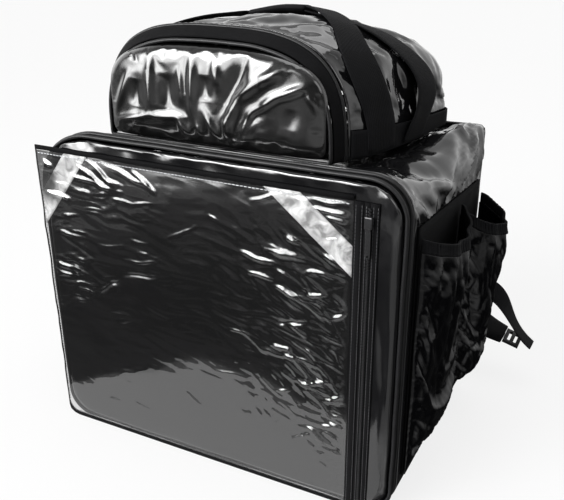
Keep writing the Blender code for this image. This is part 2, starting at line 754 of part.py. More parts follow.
def make_pull(middle, slider_back, slider_low):
    """Tab that hangs from the slider over the coil, with a hole near its round end."""
    half = PULL_WIDTH / 2
    top = slider_low - GAP
    low = top - PULL_LENGTH
    body = [
        (middle - half, top - half),
        (middle - half / 2, top),
        (middle + half / 2, top),
        (middle + half, top - half),
    ]
    tip = arc((middle, low + half), half, 0, -180, 8)
    outline = list(reversed(body + tip))
    rings = [at(slider_back - PULL_THICKNESS, outline), at(slider_back, outline)]
    pull = add_object("window_zip_pull", solid(rings), ZIP_METAL)
    bm = bmesh.new()
    place = Matrix.Translation((middle, slider_back, low + half))
    turned = place @ Matrix.Rotation(math.radians(90), 4, "X")
    bmesh.ops.create_cone(
        bm, cap_ends=True, segments=8, radius1=PULL_HOLE_RADIUS, radius2=PULL_HOLE_RADIUS,
        depth=PULL_WIDTH, matrix=turned,
    )
    cutter = add_object("pull_hole_cutter", bm, ZIP_METAL)
    BAG.objects.unlink(cutter)
    CUTTERS.objects.link(cutter)
    cutter.hide_render = True
    cutter.display_type = "WIRE"
    hole = pull.modifiers.new("hole", "BOOLEAN")
    hole.operation = "DIFFERENCE"
    hole.solver = "EXACT"
    hole.object = cutter


def round_edges(item, width, segments):
    edges = item.modifiers.new("edges", "BEVEL")
    edges.width = width
    edges.segments = segments
    edges.limit_method = "ANGLE"


def make_side_panel(side, label):
    """Matte fabric sheet on the side wall, cut along the sloping shoulder seam."""
    corners = [
        (SIDE_FRONT, SIDE_PANEL_LOW),
        (SIDE_BACK, SIDE_PANEL_LOW),
        (SIDE_BACK, seam_height(SIDE_BACK)),
        (SIDE_FRONT, seam_height(SIDE_FRONT)),
    ]
    inner = [(side * SIDE_X, y, z) for y, z in corners]
    outer = [(side * (SIDE_X + SIDE_PANEL_THICKNESS), y, z) for y, z in corners]
    add_object("side_panel_" + label, solid([inner, outer]), FABRIC)


def upright_wall(columns, thickness):
    """Body between upright point columns and the same columns moved inwards in plan.

    Its two end columns are moved straight towards the side of the box.
    """
    sections = []
    last = len(columns) - 1
    for k, column in enumerate(columns):
        ring = list(column)
        before, after = columns[max(k - 1, 0)], columns[min(k + 1, last)]
        for j in reversed(range(len(column))):
            run = Vector(after[j][:2]) - Vector(before[j][:2])
            if k in (0, last):
                run.x = 0.0
            inward = Vector((-run.y, run.x)).normalized()
            inward *= -math.copysign(thickness, inward.x * column[j][0])
            ring.append((column[j][0] + inward.x, column[j][1] + inward.y, column[j][2]))
        sections.append(ring)
    return solid(sections)


def make_pocket(side, name, span, drop, dip, bulge, lean):
    """A slack bottle pocket, open at the top, and the elastic hem above its wall."""
    wall, edge = [], []
    for k in range(POCKET_COLUMNS + 1):
        u = k / POCKET_COLUMNS
        y = span[0] + (span[1] - span[0]) * u
        top = seam_height(y) - drop - dip * 4 * u * (1 - u)
        round_off = math.sin(math.pi * u ** lean) ** POCKET_SQUARENESS
        gather = GATHER_DEPTH * math.sin(2 * math.pi * GATHER_COUNT * u)
        columns = []
        for low, high, shares, thickness in (
            (POCKET_LOW, top - HEM_WIDTH - GAP, [row[0] for row in POCKET_ROWS], POCKET_WALL),
            (top - HEM_WIDTH, top, (0.0, 0.5, 1.0), HEM_THICKNESS),
        ):
            column = []
            for share in shares:
                z = low + (high - low) * share
                height = (z - POCKET_LOW) / (top - POCKET_LOW)
                swell = bulge * blend(POCKET_ROWS, height)[0]
                out = (swell + gather * height ** 2) * round_off
                column.append((side * (POCKET_X + thickness + out), y, z))
            columns.append(column)
        wall.append(columns[0])
        edge.append(columns[1])
    add_object("bottle_pocket_" + name, upright_wall(wall, POCKET_WALL), POCKET_VINYL)
    add_object("hem_" + name, upright_wall(edge, HEM_THICKNESS), WEBBING)


def make_side(side, label):
    make_side_panel(side, label)
    make_pocket(side, "front_" + label, (SIDE_FRONT, POCKET_SPLIT - POCKET_SEAM / 2),
                FRONT_HEM_DROP, FRONT_HEM_DIP, FRONT_POCKET_BULGE, FRONT_POCKET_LEAN)
    make_pocket(side, "rear_" + label, (POCKET_SPLIT + POCKET_SEAM / 2, SIDE_BACK),
                REAR_HEM_DROP, REAR_HEM_DIP, REAR_POCKET_BULGE, REAR_POCKET_LEAN)


def upper_row(row):
    """Middle, half width and height of the upper bag from a row of shares."""
    width, height, shift = row
    return shift * UPPER_SHIFT, width * UPPER_WIDTH / 2, height * UPPER_HEIGHT


def upper_size(y):
    return upper_row(blend(UPPER_ROWS, (y - UPPER_FRONT) / UPPER_DEPTH))


def upper_stations(start):
    """Depths and sizes of the upper bag's rows from a depth backwards."""
    stations = [(start, upper_size(start))]
    for share, *row in UPPER_ROWS:
        y = UPPER_FRONT + share * UPPER_DEPTH
        if y > start + HANDLE_THICKNESS:
            stations.append((y, upper_row(row)))
    return stations


def arch_spot(half_width, low, top, angle):
    """Point of the arch at an angle in degrees, 0 at the right foot and 180 at the left."""
    turn = math.radians(angle)
    power = 2 / ARCH_POWER
    x = half_width * math.copysign(abs(math.cos(turn)) ** power, math.cos(turn))
    z = low + (top - low) * abs(math.sin(turn)) ** power
    return x, z


def arch_outline(size, inset=0.0, proud=0.0):
    """Arched outline with a flat base, anticlockwise seen from the front.

    The base is moved in by the inset only; the rest may also stand proud.
    """
    middle, half_width, height = size
    r = UPPER_FOOT_RADIUS
    x = half_width - inset + proud
    low = UPPER_BASE + inset
    top = UPPER_BASE + height - inset + proud
    points = arc((x - r, low + r), r, -90, 0, 2)
    for k in range(1, ARCH_STEPS):
        points.append(arch_spot(x, low + r, top, 180 * k / ARCH_STEPS))
    points += arc((-x + r, low + r), r, 180, 270, 2)
    points += between(points[-1], points[0], (0.5,))
    return [(middle + px, pz) for px, pz in points]


def make_upper_shell():
    outer, inner = [], []
    back = UPPER_FRONT + UPPER_DEPTH
    for y, size in upper_stations(UPPER_SHELL_START):
        outer.append(at(y, arch_outline(size)))
        inner.append(at(min(y, back - UPPER_WALL), arch_outline(size, UPPER_WALL)))
    add_object("upper_shell", solid(list(reversed(inner)) + outer), VINYL)


def pucker(across, up):
    """Share of the puff that is pulled in at a place given as shares of half width and height."""
    total = 0.0
    shape = UPPER_HEIGHT / (UPPER_WIDTH / 2)
    for place, height, reach, depth in PUCKERS:
        near = (across - place) ** 2 + ((up - height) * shape) ** 2
        total += depth * math.exp(-near / reach ** 2)
    return total


def make_upper_panel():
    size = upper_size(UPPER_FRONT)
    middle, half_width, height = size
    outline = arch_outline(size, 2 * UPPER_PIPING_RADIUS + GAP)
    centre = UPPER_BASE + height / 2
    rings = []
    for scale, puff in PUFF_ROWS:
        ring = []
        for x, z in outline:
            px = middle + (x - middle) * scale
            pz = centre + (z - centre) * scale
            hollow = pucker((px - middle) / half_width, (pz - UPPER_BASE) / height)
            ring.append((px, UPPER_PIPING_Y - UPPER_PANEL_PUFF * puff * (1 - hollow), pz))
        rings.append(ring)
    rings.reverse()
    panel = add_object("upper_front_panel", loft(rings, front_cap=True), VINYL)
    add_wall(panel, UPPER_PANEL_WALL)


def make_upper_edge():
    """Matte band round the front of the upper bag, with a line of piping on either side."""
    size = upper_size(UPPER_PIPING_Y)
    tube_ring("upper_door_piping", arch_outline(size, UPPER_PIPING_RADIUS), UPPER_PIPING_Y,
              UPPER_PIPING_RADIUS, PIPING)
    outer = [at(y, arch_outline(upper_size(y))) for y in (BAND_START, BAND_END)]
    inner = [at(y, arch_outline(upper_size(y), UPPER_BAND_WALL)) for y in (BAND_START, BAND_END)]
    add_object("upper_zip_band", tube(outer, inner), FABRIC)
    size = upper_size(SHELL_PIPING_Y)
    outline = arch_outline(size, UPPER_PIPING_RADIUS, UPPER_PIPING_RADIUS / 2)
    tube_ring("upper_shell_piping", outline, SHELL_PIPING_Y, UPPER_PIPING_RADIUS, PIPING)


def offset_line(points, distance):
    """Move a line in plan sideways by a distance, to its right as it runs."""
    moved = []
    last = len(points) - 1
    for k, point in enumerate(points):
        here = Vector(point)
        ahead = (Vector(points[min(k + 1, last)]) - Vector(points[min(k, last - 1)])).normalized()
        behind = (Vector(points[max(k, 1)]) - Vector(points[max(k - 1, 0)])).normalized()
        along = (ahead + behind).normalized()
        normal = Vector((along.y, -along.x))
        moved.append(here + normal * distance / max(along.dot(ahead), 0.5))
    return moved


def belt_top(y):
    """Height of the belt's upper edge, which falls towards the back."""
    start = UPPER_SHELL_START + GAP
    share = (y - start) / (UPPER_FRONT + UPPER_DEPTH - start)
    fall = (BELT_HEIGHT_FRONT - BELT_HEIGHT_BACK) * min(max(share, 0.0), 1.0)
    return UPPER_BASE + BELT_HEIGHT_FRONT - fall


def make_belt():
    """Webbing round the sides and back of the upper bag's base."""
    stations = upper_stations(UPPER_SHELL_START + GAP)
    line = [(middle + half, y) for y, (middle, half, _) in stations]
    line += [(middle - half, y) for y, (middle, half, _) in reversed(stations)]
    low = UPPER_BASE + UPPER_WALL
    sections = []
    for near, far in zip(offset_line(line, GAP), offset_line(line, GAP + BELT_THICKNESS)):
        high = belt_top(near.y)
        sections.append([
            (near.x, near.y, low),
            (near.x, near.y, high),
            (far.x, far.y, high),
            (far.x, far.y, low),
        ])
    add_object("base_belt", solid(sections), WEBBING)


def upper_surface(side, y, angle, lift):
    """Point above the upper bag's outside, at an angle round its arch."""
    middle, half_width, height = upper_size(y)
    low = UPPER_BASE + UPPER_FOOT_RADIUS
    x, z = arch_spot(half_width, low, UPPER_BASE + height, angle)
    across = abs(x / half_width) ** (ARCH_POWER - 1) / half_width
    up = abs((z - low) / (height - UPPER_FOOT_RADIUS)) ** (ARCH_POWER - 1) / height
    slope = math.hypot(across, up)
    x += across / slope * lift
    z += up / slope * lift
    if z < belt_top(y) + BELT_MARGIN:
        x = max(x, half_width + BELT_THICKNESS + GAP + lift)
    return Vector((side * max(side * middle + x, GRIP_END), y, z))


def make_handle_strap(side, name, rows, level):
    """Webbing over one side of the upper bag, from its base to the grip."""
    half_width = upper_size(GRIP_Y)[1]
    grip_angle = math.degrees(math.acos((GRIP_END / half_width) ** (ARCH_POWER / 2)))
    grip_lift = (GRIP_LIFT + GRIP_HEIGHT * level) / HANDLE_BOW
    grip_row = (grip_angle, (GRIP_Y - UPPER_FRONT) / UPPER_DEPTH, grip_lift)
    sections = []
    for angle, share, bow in smooth_rows(rows + (grip_row,), BAND_STEPS):
        y = UPPER_FRONT + share * UPPER_DEPTH
        places = [y + edge * HANDLE_WIDTH for edge in (-0.5, 0.0, 0.5)]
        lift = bow * HANDLE_BOW
        inside = [upper_surface(side, place, angle, lift) for place in places]
        lift += HANDLE_THICKNESS
        outside = [upper_surface(side, place, angle, lift) for place in reversed(places)]
        sections.append(inside + outside)
    add_object("handle_strap_" + name, solid(sections), WEBBING)


def make_grip():
    """Padded sleeve in the middle of the handle."""
    sections = []
    for share, swell in GRIP_ROWS:
        ring = []
        for k in range(GRIP_SIDES):
            turn = 2 * math.pi * k / GRIP_SIDES
            across = math.copysign(abs(math.cos(turn)) ** GRIP_ROUNDNESS, math.cos(turn))
            up = math.copysign(abs(math.sin(turn)) ** GRIP_ROUNDNESS, math.sin(turn))
            y = GRIP_Y + across * GRIP_WIDTH / 2 * swell
            low = UPPER_BASE + upper_size(y)[2] + GRIP_LIFT
            ring.append((share * GRIP_LENGTH / 2, y, low + (1 + up) * GRIP_HEIGHT / 2))
        sections.append(ring)
    add_object("handle_grip", solid(sections), WEBBING)


def strap_frames(rows):
    """Middle, width direction and face direction along a strap given by points and turns."""
    points = [Vector(row[:3]) for row in rows]
    frames = []
    last = len(points) - 1
    for k, point in enumerate(points):
        along = (points[min(k + 1, last)] - points[max(k - 1, 0)]).normalized()
        back = Vector((0, 1, 0))
        back = (back - along * back.dot(along)).normalized()
        flat = along.cross(back)
        turn = math.radians(rows[k][3])
        width = flat * math.cos(turn) + back * math.sin(turn)
        frames.append((point, width, width.cross(along)))
    return frames


def make_shoulder_strap(side, label):
    rows = []
    for across, air, height, turn, width in STRAP_ROWS:
        y = BACK_Y + GAP + STRAP_THICKNESS / 2 + air * STRAP_REACH
        rows.append((across * HALF_WIDTH, y, height * BOX_HEIGHT, turn, width))
    rows = smooth_rows(rows, STRAP_STEPS)
    sections = []
    for (middle, width, face), row in zip(strap_frames(rows), rows):
        half = STRAP_WIDTH / 2 * row[4]
        edge = STRAP_THICKNESS / 2
        ring = []
        for a, b in ((-1, -0.4), (-0.8, -1), (0.8, -1), (1, -0.4), (1, 0.4), (0.8, 1), (-0.8, 1), (-1, 0.4)):
            point = middle + width * half * a + face * edge * b
            ring.append((side * point.x, max(point.y, BACK_Y + GAP), point.z))
        sections.append(ring)
    add_object("shoulder_strap_" + label, solid(sections), FABRIC)
    return Vector(rows[-1][:3]), Vector(rows[-2][:3])


def make_webbing(side, label):
    rows = []
    for across, air, height, turn in WEBBING_ROWS:
        y = BACK_Y + GAP + WEBBING_THICKNESS / 2 + air * STRAP_REACH
        rows.append((across * HALF_WIDTH, y, height * BOX_HEIGHT, turn))
    rows = smooth_rows(rows, BAND_STEPS)
    sections = []
    for middle, width, face in strap_frames(rows):
        ring = []
        for a, b in ((-1, -1), (1, -1), (1, 1), (-1, 1)):
            point = middle + width * WEBBING_WIDTH / 2 * a + face * WEBBING_THICKNESS / 2 * b
            ring.append((side * point.x, max(point.y, BACK_Y + GAP), point.z))
        sections.append(ring)
    add_object("strap_webbing_" + label, solid(sections), WEBBING)


def make_buckle(side, label, end, before):
    """Ladder-lock at the strap's lower end: a plate with two slots."""
    half_length, half_width = BUCKLE_LENGTH / 2, BUCKLE_WIDTH / 2
    bars = (
        -half_length,
        BUCKLE_RIM - half_length,
        -BUCKLE_RIM / 2,
        BUCKLE_RIM / 2,
        half_length - BUCKLE_RIM,
        half_length,
    )
    rails = (-half_width, BUCKLE_RIM - half_width, half_width - BUCKLE_RIM, half_width)
    along = (end - before).normalized()
    up = along.cross(Vector((0, 1, 0)))
    origin = end + along * (half_length + 2 * GAP) + up * BUCKLE_THICKNESS / 2
    bm = bmesh.new()
    grid = []
    for bar in bars:
        points = [origin + along * bar + Vector((0, rail, 0)) for rail in rails]
        grid.append([bm.verts.new((side * point.x, point.y, point.z)) for point in points])
    for i, (near, far) in enumerate(zip(grid, grid[1:])):
        for j in range(len(rails) - 1):
            is_slot = j == 1 and i % 2 == 1
            if not is_slot:
                bm.faces.new((near[j], far[j], far[j + 1], near[j + 1]))
    add_wall(add_object("strap_buckle_" + label, bm, PIPING), BUCKLE_THICKNESS)


make_lower_shell()
make_door()
make_back()
make_film()
make_binding()
make_strips()
make_window_zip()
make_upper_shell()
make_upper_panel()
make_upper_edge()
make_belt()
make_grip()
for side, label in ((1, "right"), (-1, "left")):
    make_side(side, label)
    make_handle_strap(side, "front_" + label, FRONT_HANDLE_ROWS, FRONT_STRAP_LEVEL)
    make_handle_strap(side, "rear_" + label, REAR_HANDLE_ROWS, REAR_STRAP_LEVEL)
    strap_end, strap_before = make_shoulder_strap(side, label)
    make_webbing(side, label)
    make_buckle(side, label, strap_end, strap_before)
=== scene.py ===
"""Vinyl delivery backpack: cloth, film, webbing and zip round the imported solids.

Metres, +Z up, the door faces -Y. Glossy PVC-coated polyester over foam, a clear PVC pocket on the
door, polyester webbing and a small zipped bag on the lid. The vinyl and the film are sheets laid on the
sizes of the solids. The vinyl is left to buckle between its seams, and sharper creases are pressed into
both afterwards. Pads, straps and tapes are rounded copies of their solids.
"""
import math

import bmesh
import bpy
import numpy as np
from mathutils import Matrix, Vector, noise
from mathutils.bvhtree import BVHTree


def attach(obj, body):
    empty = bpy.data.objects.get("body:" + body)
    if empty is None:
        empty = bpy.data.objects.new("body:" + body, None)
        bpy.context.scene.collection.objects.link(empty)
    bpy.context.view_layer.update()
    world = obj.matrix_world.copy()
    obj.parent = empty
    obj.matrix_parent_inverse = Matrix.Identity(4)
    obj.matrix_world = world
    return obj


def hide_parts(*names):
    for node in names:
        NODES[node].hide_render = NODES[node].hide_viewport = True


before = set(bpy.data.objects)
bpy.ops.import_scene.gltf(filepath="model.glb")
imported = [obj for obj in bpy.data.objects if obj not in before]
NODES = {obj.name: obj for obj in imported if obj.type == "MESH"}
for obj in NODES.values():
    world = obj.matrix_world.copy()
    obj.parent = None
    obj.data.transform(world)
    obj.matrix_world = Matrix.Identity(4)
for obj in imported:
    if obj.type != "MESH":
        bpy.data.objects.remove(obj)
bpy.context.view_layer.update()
MM = 0.001

# Lower box
HALF_WIDTH = 0.220
BOX_HEIGHT = 0.378
LID_DROP = 0.009
FRONT_Y = -0.145
GUSSET_START = -0.1227
GUSSET_END = 0.1367
LOW_RADIUS = 0.032
TOP_RIGHT_RADIUS = 0.040
TOP_LEFT_RADIUS = 0.072
PIPING_RADIUS = 0.0022
SEAM_FRONT = 0.326
SEAM_BACK = 0.302
GUSSET_ROWS = (
    (0.000, 0.00, 1.00),
    (0.025, 0.40, 1.00),
    (0.050, 0.85, 1.00),
    (0.075, 1.00, 1.00),
    (0.850, 1.00, 0.30),
    (0.955, 1.00, 0.20),
    (0.980, 1.15, 0.20),
    (1.000, 1.30, 0.20),
)

# Clear pocket and its zip
FILM_LEFT, FILM_RIGHT = -0.2165, 0.168
FILM_LOW, FILM_TOP = 0.006, 0.355
FILM_RADIUS = 0.014
COIL_X = 0.18425
COIL_FRONT = -0.1462
TAPE_FRONT = -0.1443

# Bottle pockets
POCKET_X = 0.2221
SIDE_FRONT, SIDE_BACK = -0.1107, 0.1277
POCKET_LOW = 0.038
HEM_WIDTH = 0.012
POCKET_ROWS = (
    (0, 0), (0.08, 0.24), (0.18, 0.54), (0.32, 0.78), (0.5, 0.82), (0.68, 0.86), (0.86, 1), (1, 0.88),
)
POCKETS = {
    "front": ((SIDE_FRONT, 0.035), 0.010, 0.016, 0.026, 1.0),
    "rear": ((0.041, SIDE_BACK), 0.017, 0.022, 0.042, 1.3),
}

# Upper bag
UPPER_BASE = 0.3693
UPPER_FRONT = -0.1027
UPPER_WIDTH = 0.356
UPPER_HEIGHT = 0.131
UPPER_DEPTH = 0.2277
UPPER_BACK = UPPER_FRONT + UPPER_DEPTH
UPPER_SHIFT = -0.010
UPPER_FOOT = 0.006
BAND_START, BAND_END = -0.0984, -0.0849
SHELL_START = -0.0803
UPPER_PIPING_Y = -0.1007
SHELL_PIPING_Y = -0.0826
PANEL_PUFF = 0.012
UPPER_ROWS = (
    (0.000, 0.753, 0.853, 0.80),
    (0.080, 0.803, 0.948, 1.00),
    (0.185, 0.858, 0.975, 0.60),
    (0.320, 0.900, 1.000, 0.30),
    (0.450, 0.930, 0.985, 0.10),
    (0.620, 0.962, 0.940, 0.00),
    (0.800, 0.992, 0.850, 0.00),
    (0.910, 1.000, 0.765, 0.00),
    (0.965, 0.965, 0.660, 0.00),
    (1.000, 0.880, 0.520, 0.00),
)

# Camera: focal length in mm, place, and azimuth, elevation and roll in degrees
LENS = 49.46
CAMERA_PLACE = (0.4141, -0.7697, 0.5987)
CAMERA_TURN = (27.14, 23.62, -0.30)


# Materials

def paint(code):
    """sRGB hex to linear colour."""
    channels = [int(code[k:k + 2], 16) / 255 for k in (1, 3, 5)]
    linear = [c / 12.92 if c <= 0.04045 else ((c + 0.055) / 1.055) ** 2.4 for c in channels]
    return (*linear, 1.0)


def add(tree, kind, settings=None, inputs=None):
    """Add a node with its settings; each input takes a value or another node's output."""
    node = tree.nodes.new("ShaderNode" + kind)
    for key, value in (settings or {}).items():
        setattr(node, key, value)
    for key, value in (inputs or {}).items():
        if isinstance(value, bpy.types.Node):
            value = value.outputs[0]
        if isinstance(value, bpy.types.NodeSocket):
            tree.links.new(value, node.inputs[key])
        else:
            node.inputs[key].default_value = value
    return node


def begin(name, colour, roughness, ior=1.5, metallic=0.0):
    """A material with its shader and the places that its patterns are read at."""
    material = bpy.data.materials.new(name)
    material.use_nodes = True
    tree = material.node_tree
    tree.nodes.clear()
    shader = add(tree, "BsdfPrincipled", None, {
        "Base Color": paint(colour), "Roughness": roughness, "IOR": ior, "Metallic": metallic,
    })
    add(tree, "OutputMaterial", None, {"Surface": shader})
    return material, tree, shader, add(tree, "TexCoord")


def make_vinyl(name, colour, roughness, orange_peel):
    """PVC-coated polyester, calendered: the plastic skin mirrors, the cloth below shows as a faint peel."""
    material, tree, shader, where = begin(name, colour, roughness, 1.54)
    place = where.outputs["Object"]
    skin = add(tree, "TexNoise", None, {"Vector": place, "Scale": 1 / (14 * MM), "Detail": 2.0})
    peel = add(tree, "TexNoise", None, {"Vector": place, "Scale": 1 / (2.2 * MM), "Detail": 1.0})
    bump = add(tree, "Bump", None, {"Height": skin, "Distance": orange_peel})
    bump = add(tree, "Bump", None, {"Height": peel, "Distance": 0.03 * MM, "Normal": bump})
    haze = add(tree, "MapRange", None, {
        "Value": skin, "From Min": 0.3, "From Max": 0.7,
        "To Min": roughness * 0.75, "To Max": roughness * 1.4,
    })
    tree.links.new(bump.outputs[0], shader.inputs["Normal"])
    tree.links.new(haze.outputs[0], shader.inputs["Roughness"])
    shader.inputs["Coat Weight"].default_value = 0.5
    shader.inputs["Coat Roughness"].default_value = 0.05
    return material


def make_weave(name, colour, light, thread, ribs, roughness):
    """Woven polyester read along the cloth's own map: threads in mm, warp ribs across, weft between; the gaps
    between threads are painted darker as shade and the crowns lighter, over a random tone from the cloud.

    Real threads lie 0.4 to 0.6 mm apart, which is too fine to show, so they are drawn twice as coarse.
    """
    material, tree, shader, where = begin(name, colour, roughness)
    across = add(tree, "TexWave", {"bands_direction": "X"}, {
        "Vector": where.outputs["UV"], "Scale": 0.314 / (thread * ribs * MM),
        "Distortion": 0.3, "Detail": 1.0,
    })
    along = add(tree, "TexWave", {"bands_direction": "Y"}, {
        "Vector": where.outputs["UV"], "Scale": 0.314 / (thread * MM), "Distortion": 0.3, "Detail": 1.0,
    })
    cloud = add(tree, "TexNoise", None, {
        "Vector": where.outputs["Object"], "Scale": 1 / (25 * MM), "Detail": 4.0,
    })
    threads = add(tree, "Math", {"operation": "MULTIPLY"}, {
        0: across.outputs["Fac"], 1: along.outputs["Fac"],
    })
    # Painted shade between the threads and lighter crowns on them, mixed with the cloud's random tone
    shade = add(tree, "Math", {"operation": "MULTIPLY_ADD"}, {0: threads, 1: 0.6, 2: cloud.outputs["Fac"]})
    tone = add(tree, "MapRange", None, {"Value": shade, "From Min": 0.4, "From Max": 1.1})
    mix = add(tree, "Mix", {"data_type": "RGBA"}, {"Factor": tone, 6: paint(colour), 7: paint(light)})
    bump = add(tree, "Bump", None, {"Height": cloud.outputs["Fac"], "Distance": 1.0 * MM})
    bump = add(tree, "Bump", None, {"Height": threads, "Distance": 0.25 * thread * MM, "Normal": bump})
    tree.links.new(mix.outputs[2], shader.inputs["Base Color"])
    tree.links.new(bump.outputs[0], shader.inputs["Normal"])
    shader.inputs["Specular IOR Level"].default_value = 0.09
    return material


def make_solid(name, colour, worn, roughness, grain, depth, ior=1.5, metallic=0.0):
    """Moulded, cast or coated piece: fine grain and patches where handling has changed the tone."""
    material, tree, shader, where = begin(name, colour, roughness, ior, metallic)
    place = where.outputs["Object"]
    spots = add(tree, "TexNoise", None, {"Vector": place, "Scale": 1 / (grain * MM), "Detail": 2.0})
    wear = add(tree, "TexNoise", None, {"Vector": place, "Scale": 1 / (18 * MM), "Detail": 3.0})
    patch = add(tree, "MapRange", None, {"Value": wear, "From Min": 0.45, "From Max": 0.7})
    mix = add(tree, "Mix", {"data_type": "RGBA"}, {"Factor": patch, 6: paint(colour), 7: paint(worn)})
    bump = add(tree, "Bump", None, {"Height": spots, "Distance": depth * MM})
    rough = add(tree, "MapRange", None, {
        "Value": spots, "From Min": 0.2, "From Max": 0.8,
        "To Min": roughness * 0.8, "To Max": roughness * 1.25,
    })
    tree.links.new(mix.outputs[2], shader.inputs["Base Color"])
    tree.links.new(bump.outputs[0], shader.inputs["Normal"])
    tree.links.new(rough.outputs[0], shader.inputs["Roughness"])
    return material


def make_film():
    """Clear plasticised PVC film, 0.5 mm, cast glossy: a mirror at a glance, with fine crush marks."""
    material, tree, shader, where = begin("clear_pvc_film", "#171717", 0.05, 3.0)
    crush = add(tree, "TexNoise", {"noise_type": "RIDGED_MULTIFRACTAL"}, {
        "Vector": where.outputs["Object"], "Scale": 1 / (26 * MM), "Detail": 2.0, "Distortion": 0.4,
    })
    fine = add(tree, "TexNoise", None, {
        "Vector": where.outputs["Object"], "Scale": 1 / (9 * MM), "Detail": 2.0,
    })
    bump = add(tree, "Bump", None, {"Height": crush, "Distance": 0.12 * MM})
    bump = add(tree, "Bump", None, {"Height": fine, "Distance": 0.06 * MM, "Normal": bump})
    tree.links.new(bump.outputs[0], shader.inputs["Normal"])
    # Doubled and dark at the upper left corner, where it is folded round its binding
    split = add(tree, "SeparateXYZ", None, {0: where.outputs["Object"]})
    aside = add(tree, "MapRange", {"interpolation_type": "SMOOTHSTEP"}, {
        "Value": split, "From Min": -0.185, "From Max": -0.202,
    })
    aloft = add(tree, "MapRange", {"interpolation_type": "SMOOTHSTEP"}, {
        "Value": split.outputs[2], "From Min": 0.285, "From Max": 0.315, "To Max": 0.52,
    })
    doubled = add(tree, "Math", {"operation": "MULTIPLY_ADD"}, {0: aside, 1: aloft, 2: 0.36})
    tree.links.new(doubled.outputs[0], shader.inputs["Alpha"])
    return material


def make_reflective():
    """Silver glass-bead tape on cloth, under clear film: pale grey, creased, with a fine bead grain; its
    lighter patches are partly painted highlights for the glints of the crinkled film over it, and it has a
    faint painted glow.

    The real beads are 0.05 mm, too fine to show, so their grain is drawn at 0.9 mm.
    """
    material, tree, shader, where = begin("glass_bead_silver_tape", "#c6c6c6", 0.36)
    beads = add(tree, "TexVoronoi", None, {"Vector": where.outputs["Object"], "Scale": 1 / (0.9 * MM)})
    creases_and_glints = add(tree, "TexNoise", None, {
        "Vector": where.outputs["Object"], "Scale": 1 / (17 * MM), "Detail": 3.0, "Distortion": 1.2,
    })
    # The lighter patches are partly the tape's own creased tone and partly painted highlights: glints of the
    # crinkled film lying over the tape
    tone = add(tree, "MapRange", None, {"Value": creases_and_glints, "From Min": 0.36, "From Max": 0.66})
    mix = add(tree, "Mix", {"data_type": "RGBA"}, {"Factor": tone, 6: paint("#868686"), 7: paint("#f6f6f6")})
    bump = add(tree, "Bump", None, {"Height": creases_and_glints, "Distance": 0.5 * MM})
    bump = add(tree, "Bump", None, {"Height": beads, "Distance": 0.02 * MM, "Normal": bump})
    tree.links.new(mix.outputs[2], shader.inputs["Base Color"])
    tree.links.new(bump.outputs[0], shader.inputs["Normal"])
    # Painted glow: the tape gives out a faint light of its own, though it is no lamp, so that it stays bright
    shader.inputs["Emission Color"].default_value = paint("#ffffff")
    shader.inputs["Emission Strength"].default_value = 0.07
    shader.inputs["Coat Weight"].default_value = 0.6
    shader.inputs["Coat Roughness"].default_value = 0.08
    return material


# The box and the upper bag mirror sharply and the puffed panel is softer; the pockets are the same vinyl made
# darker and duller as painted shade for the dark they sit in, so that only their folds catch the light
VINYL = make_vinyl("gloss_vinyl_calendered", "#0b0b0c", 0.11, 0.10 * MM)
PUFFED = make_vinyl("gloss_vinyl_puffed", "#0a0a0a", 0.17, 0.10 * MM)
PUFFED.node_tree.nodes["Principled BSDF"].inputs["Coat Roughness"].default_value = 0.11
SHADED_SLACK = make_vinyl("gloss_vinyl_slack_shaded", "#030304", 0.17, 0.16 * MM)
SHADED_SLACK.node_tree.nodes["Principled BSDF"].inputs["Specular IOR Level"].default_value = 0.22
SHADED_SLACK.node_tree.nodes["Principled BSDF"].inputs["Coat Weight"].default_value = 0.08
# Dull black cloth and ribbed webbing, which give back almost no light
CLOTH = make_weave("polyester_600_denier", "#040405", "#0b0b0c", 0.9, 1.0, 0.85)
WEBBING = make_weave("polyester_webbing", "#040405", "#0e0e10", 1.2, 2.0, 0.75)
# Extruded piping with a soft shine, painted zinc and moulded nylon for the zip, and two threads
PIPING = make_solid("extruded_pvc_piping", "#060607", "#0c0c0e", 0.46, 1.5, 0.02, 1.35)
FILM = make_film()
SILVER = make_reflective()
PAINTED_ZINC = make_solid("black_painted_zinc", "#0d0d0e", "#1d1d1f", 0.30, 0.8, 0.01)
NYLON = make_solid("nylon_coil_and_acetal", "#0b0b0c", "#141416", 0.50, 0.6, 0.02, 1.30)
DARK_THREAD = make_solid("bonded_nylon_thread", "#2a2a2c", "#38383a", 0.55, 0.4, 0.03)
PALE_THREAD = make_solid("pale_polyester_thread", "#a5a6a9", "#c6c7ca", 0.55, 0.4, 0.03)


# Sheets and how they buckle

def link_mesh(name, bm):
    mesh = bpy.data.meshes.new(name)
    bm.to_mesh(mesh)
    bm.free()
    mesh.shade_smooth()
    item = bpy.data.objects.new(name, mesh)
    bpy.context.scene.collection.objects.link(item)
    return item


def points_of(item):
    flat = np.empty(len(item.data.vertices) * 3)
    item.data.vertices.foreach_get("co", flat)
    return flat.reshape(-1, 3)


def normals_of(item):
    flat = np.empty(len(item.data.vertices) * 3)
    item.data.vertices.foreach_get("normal", flat)
    return flat.reshape(-1, 3)


def put_points(item, points):
    item.data.vertices.foreach_set("co", points.ravel())
    item.data.update()


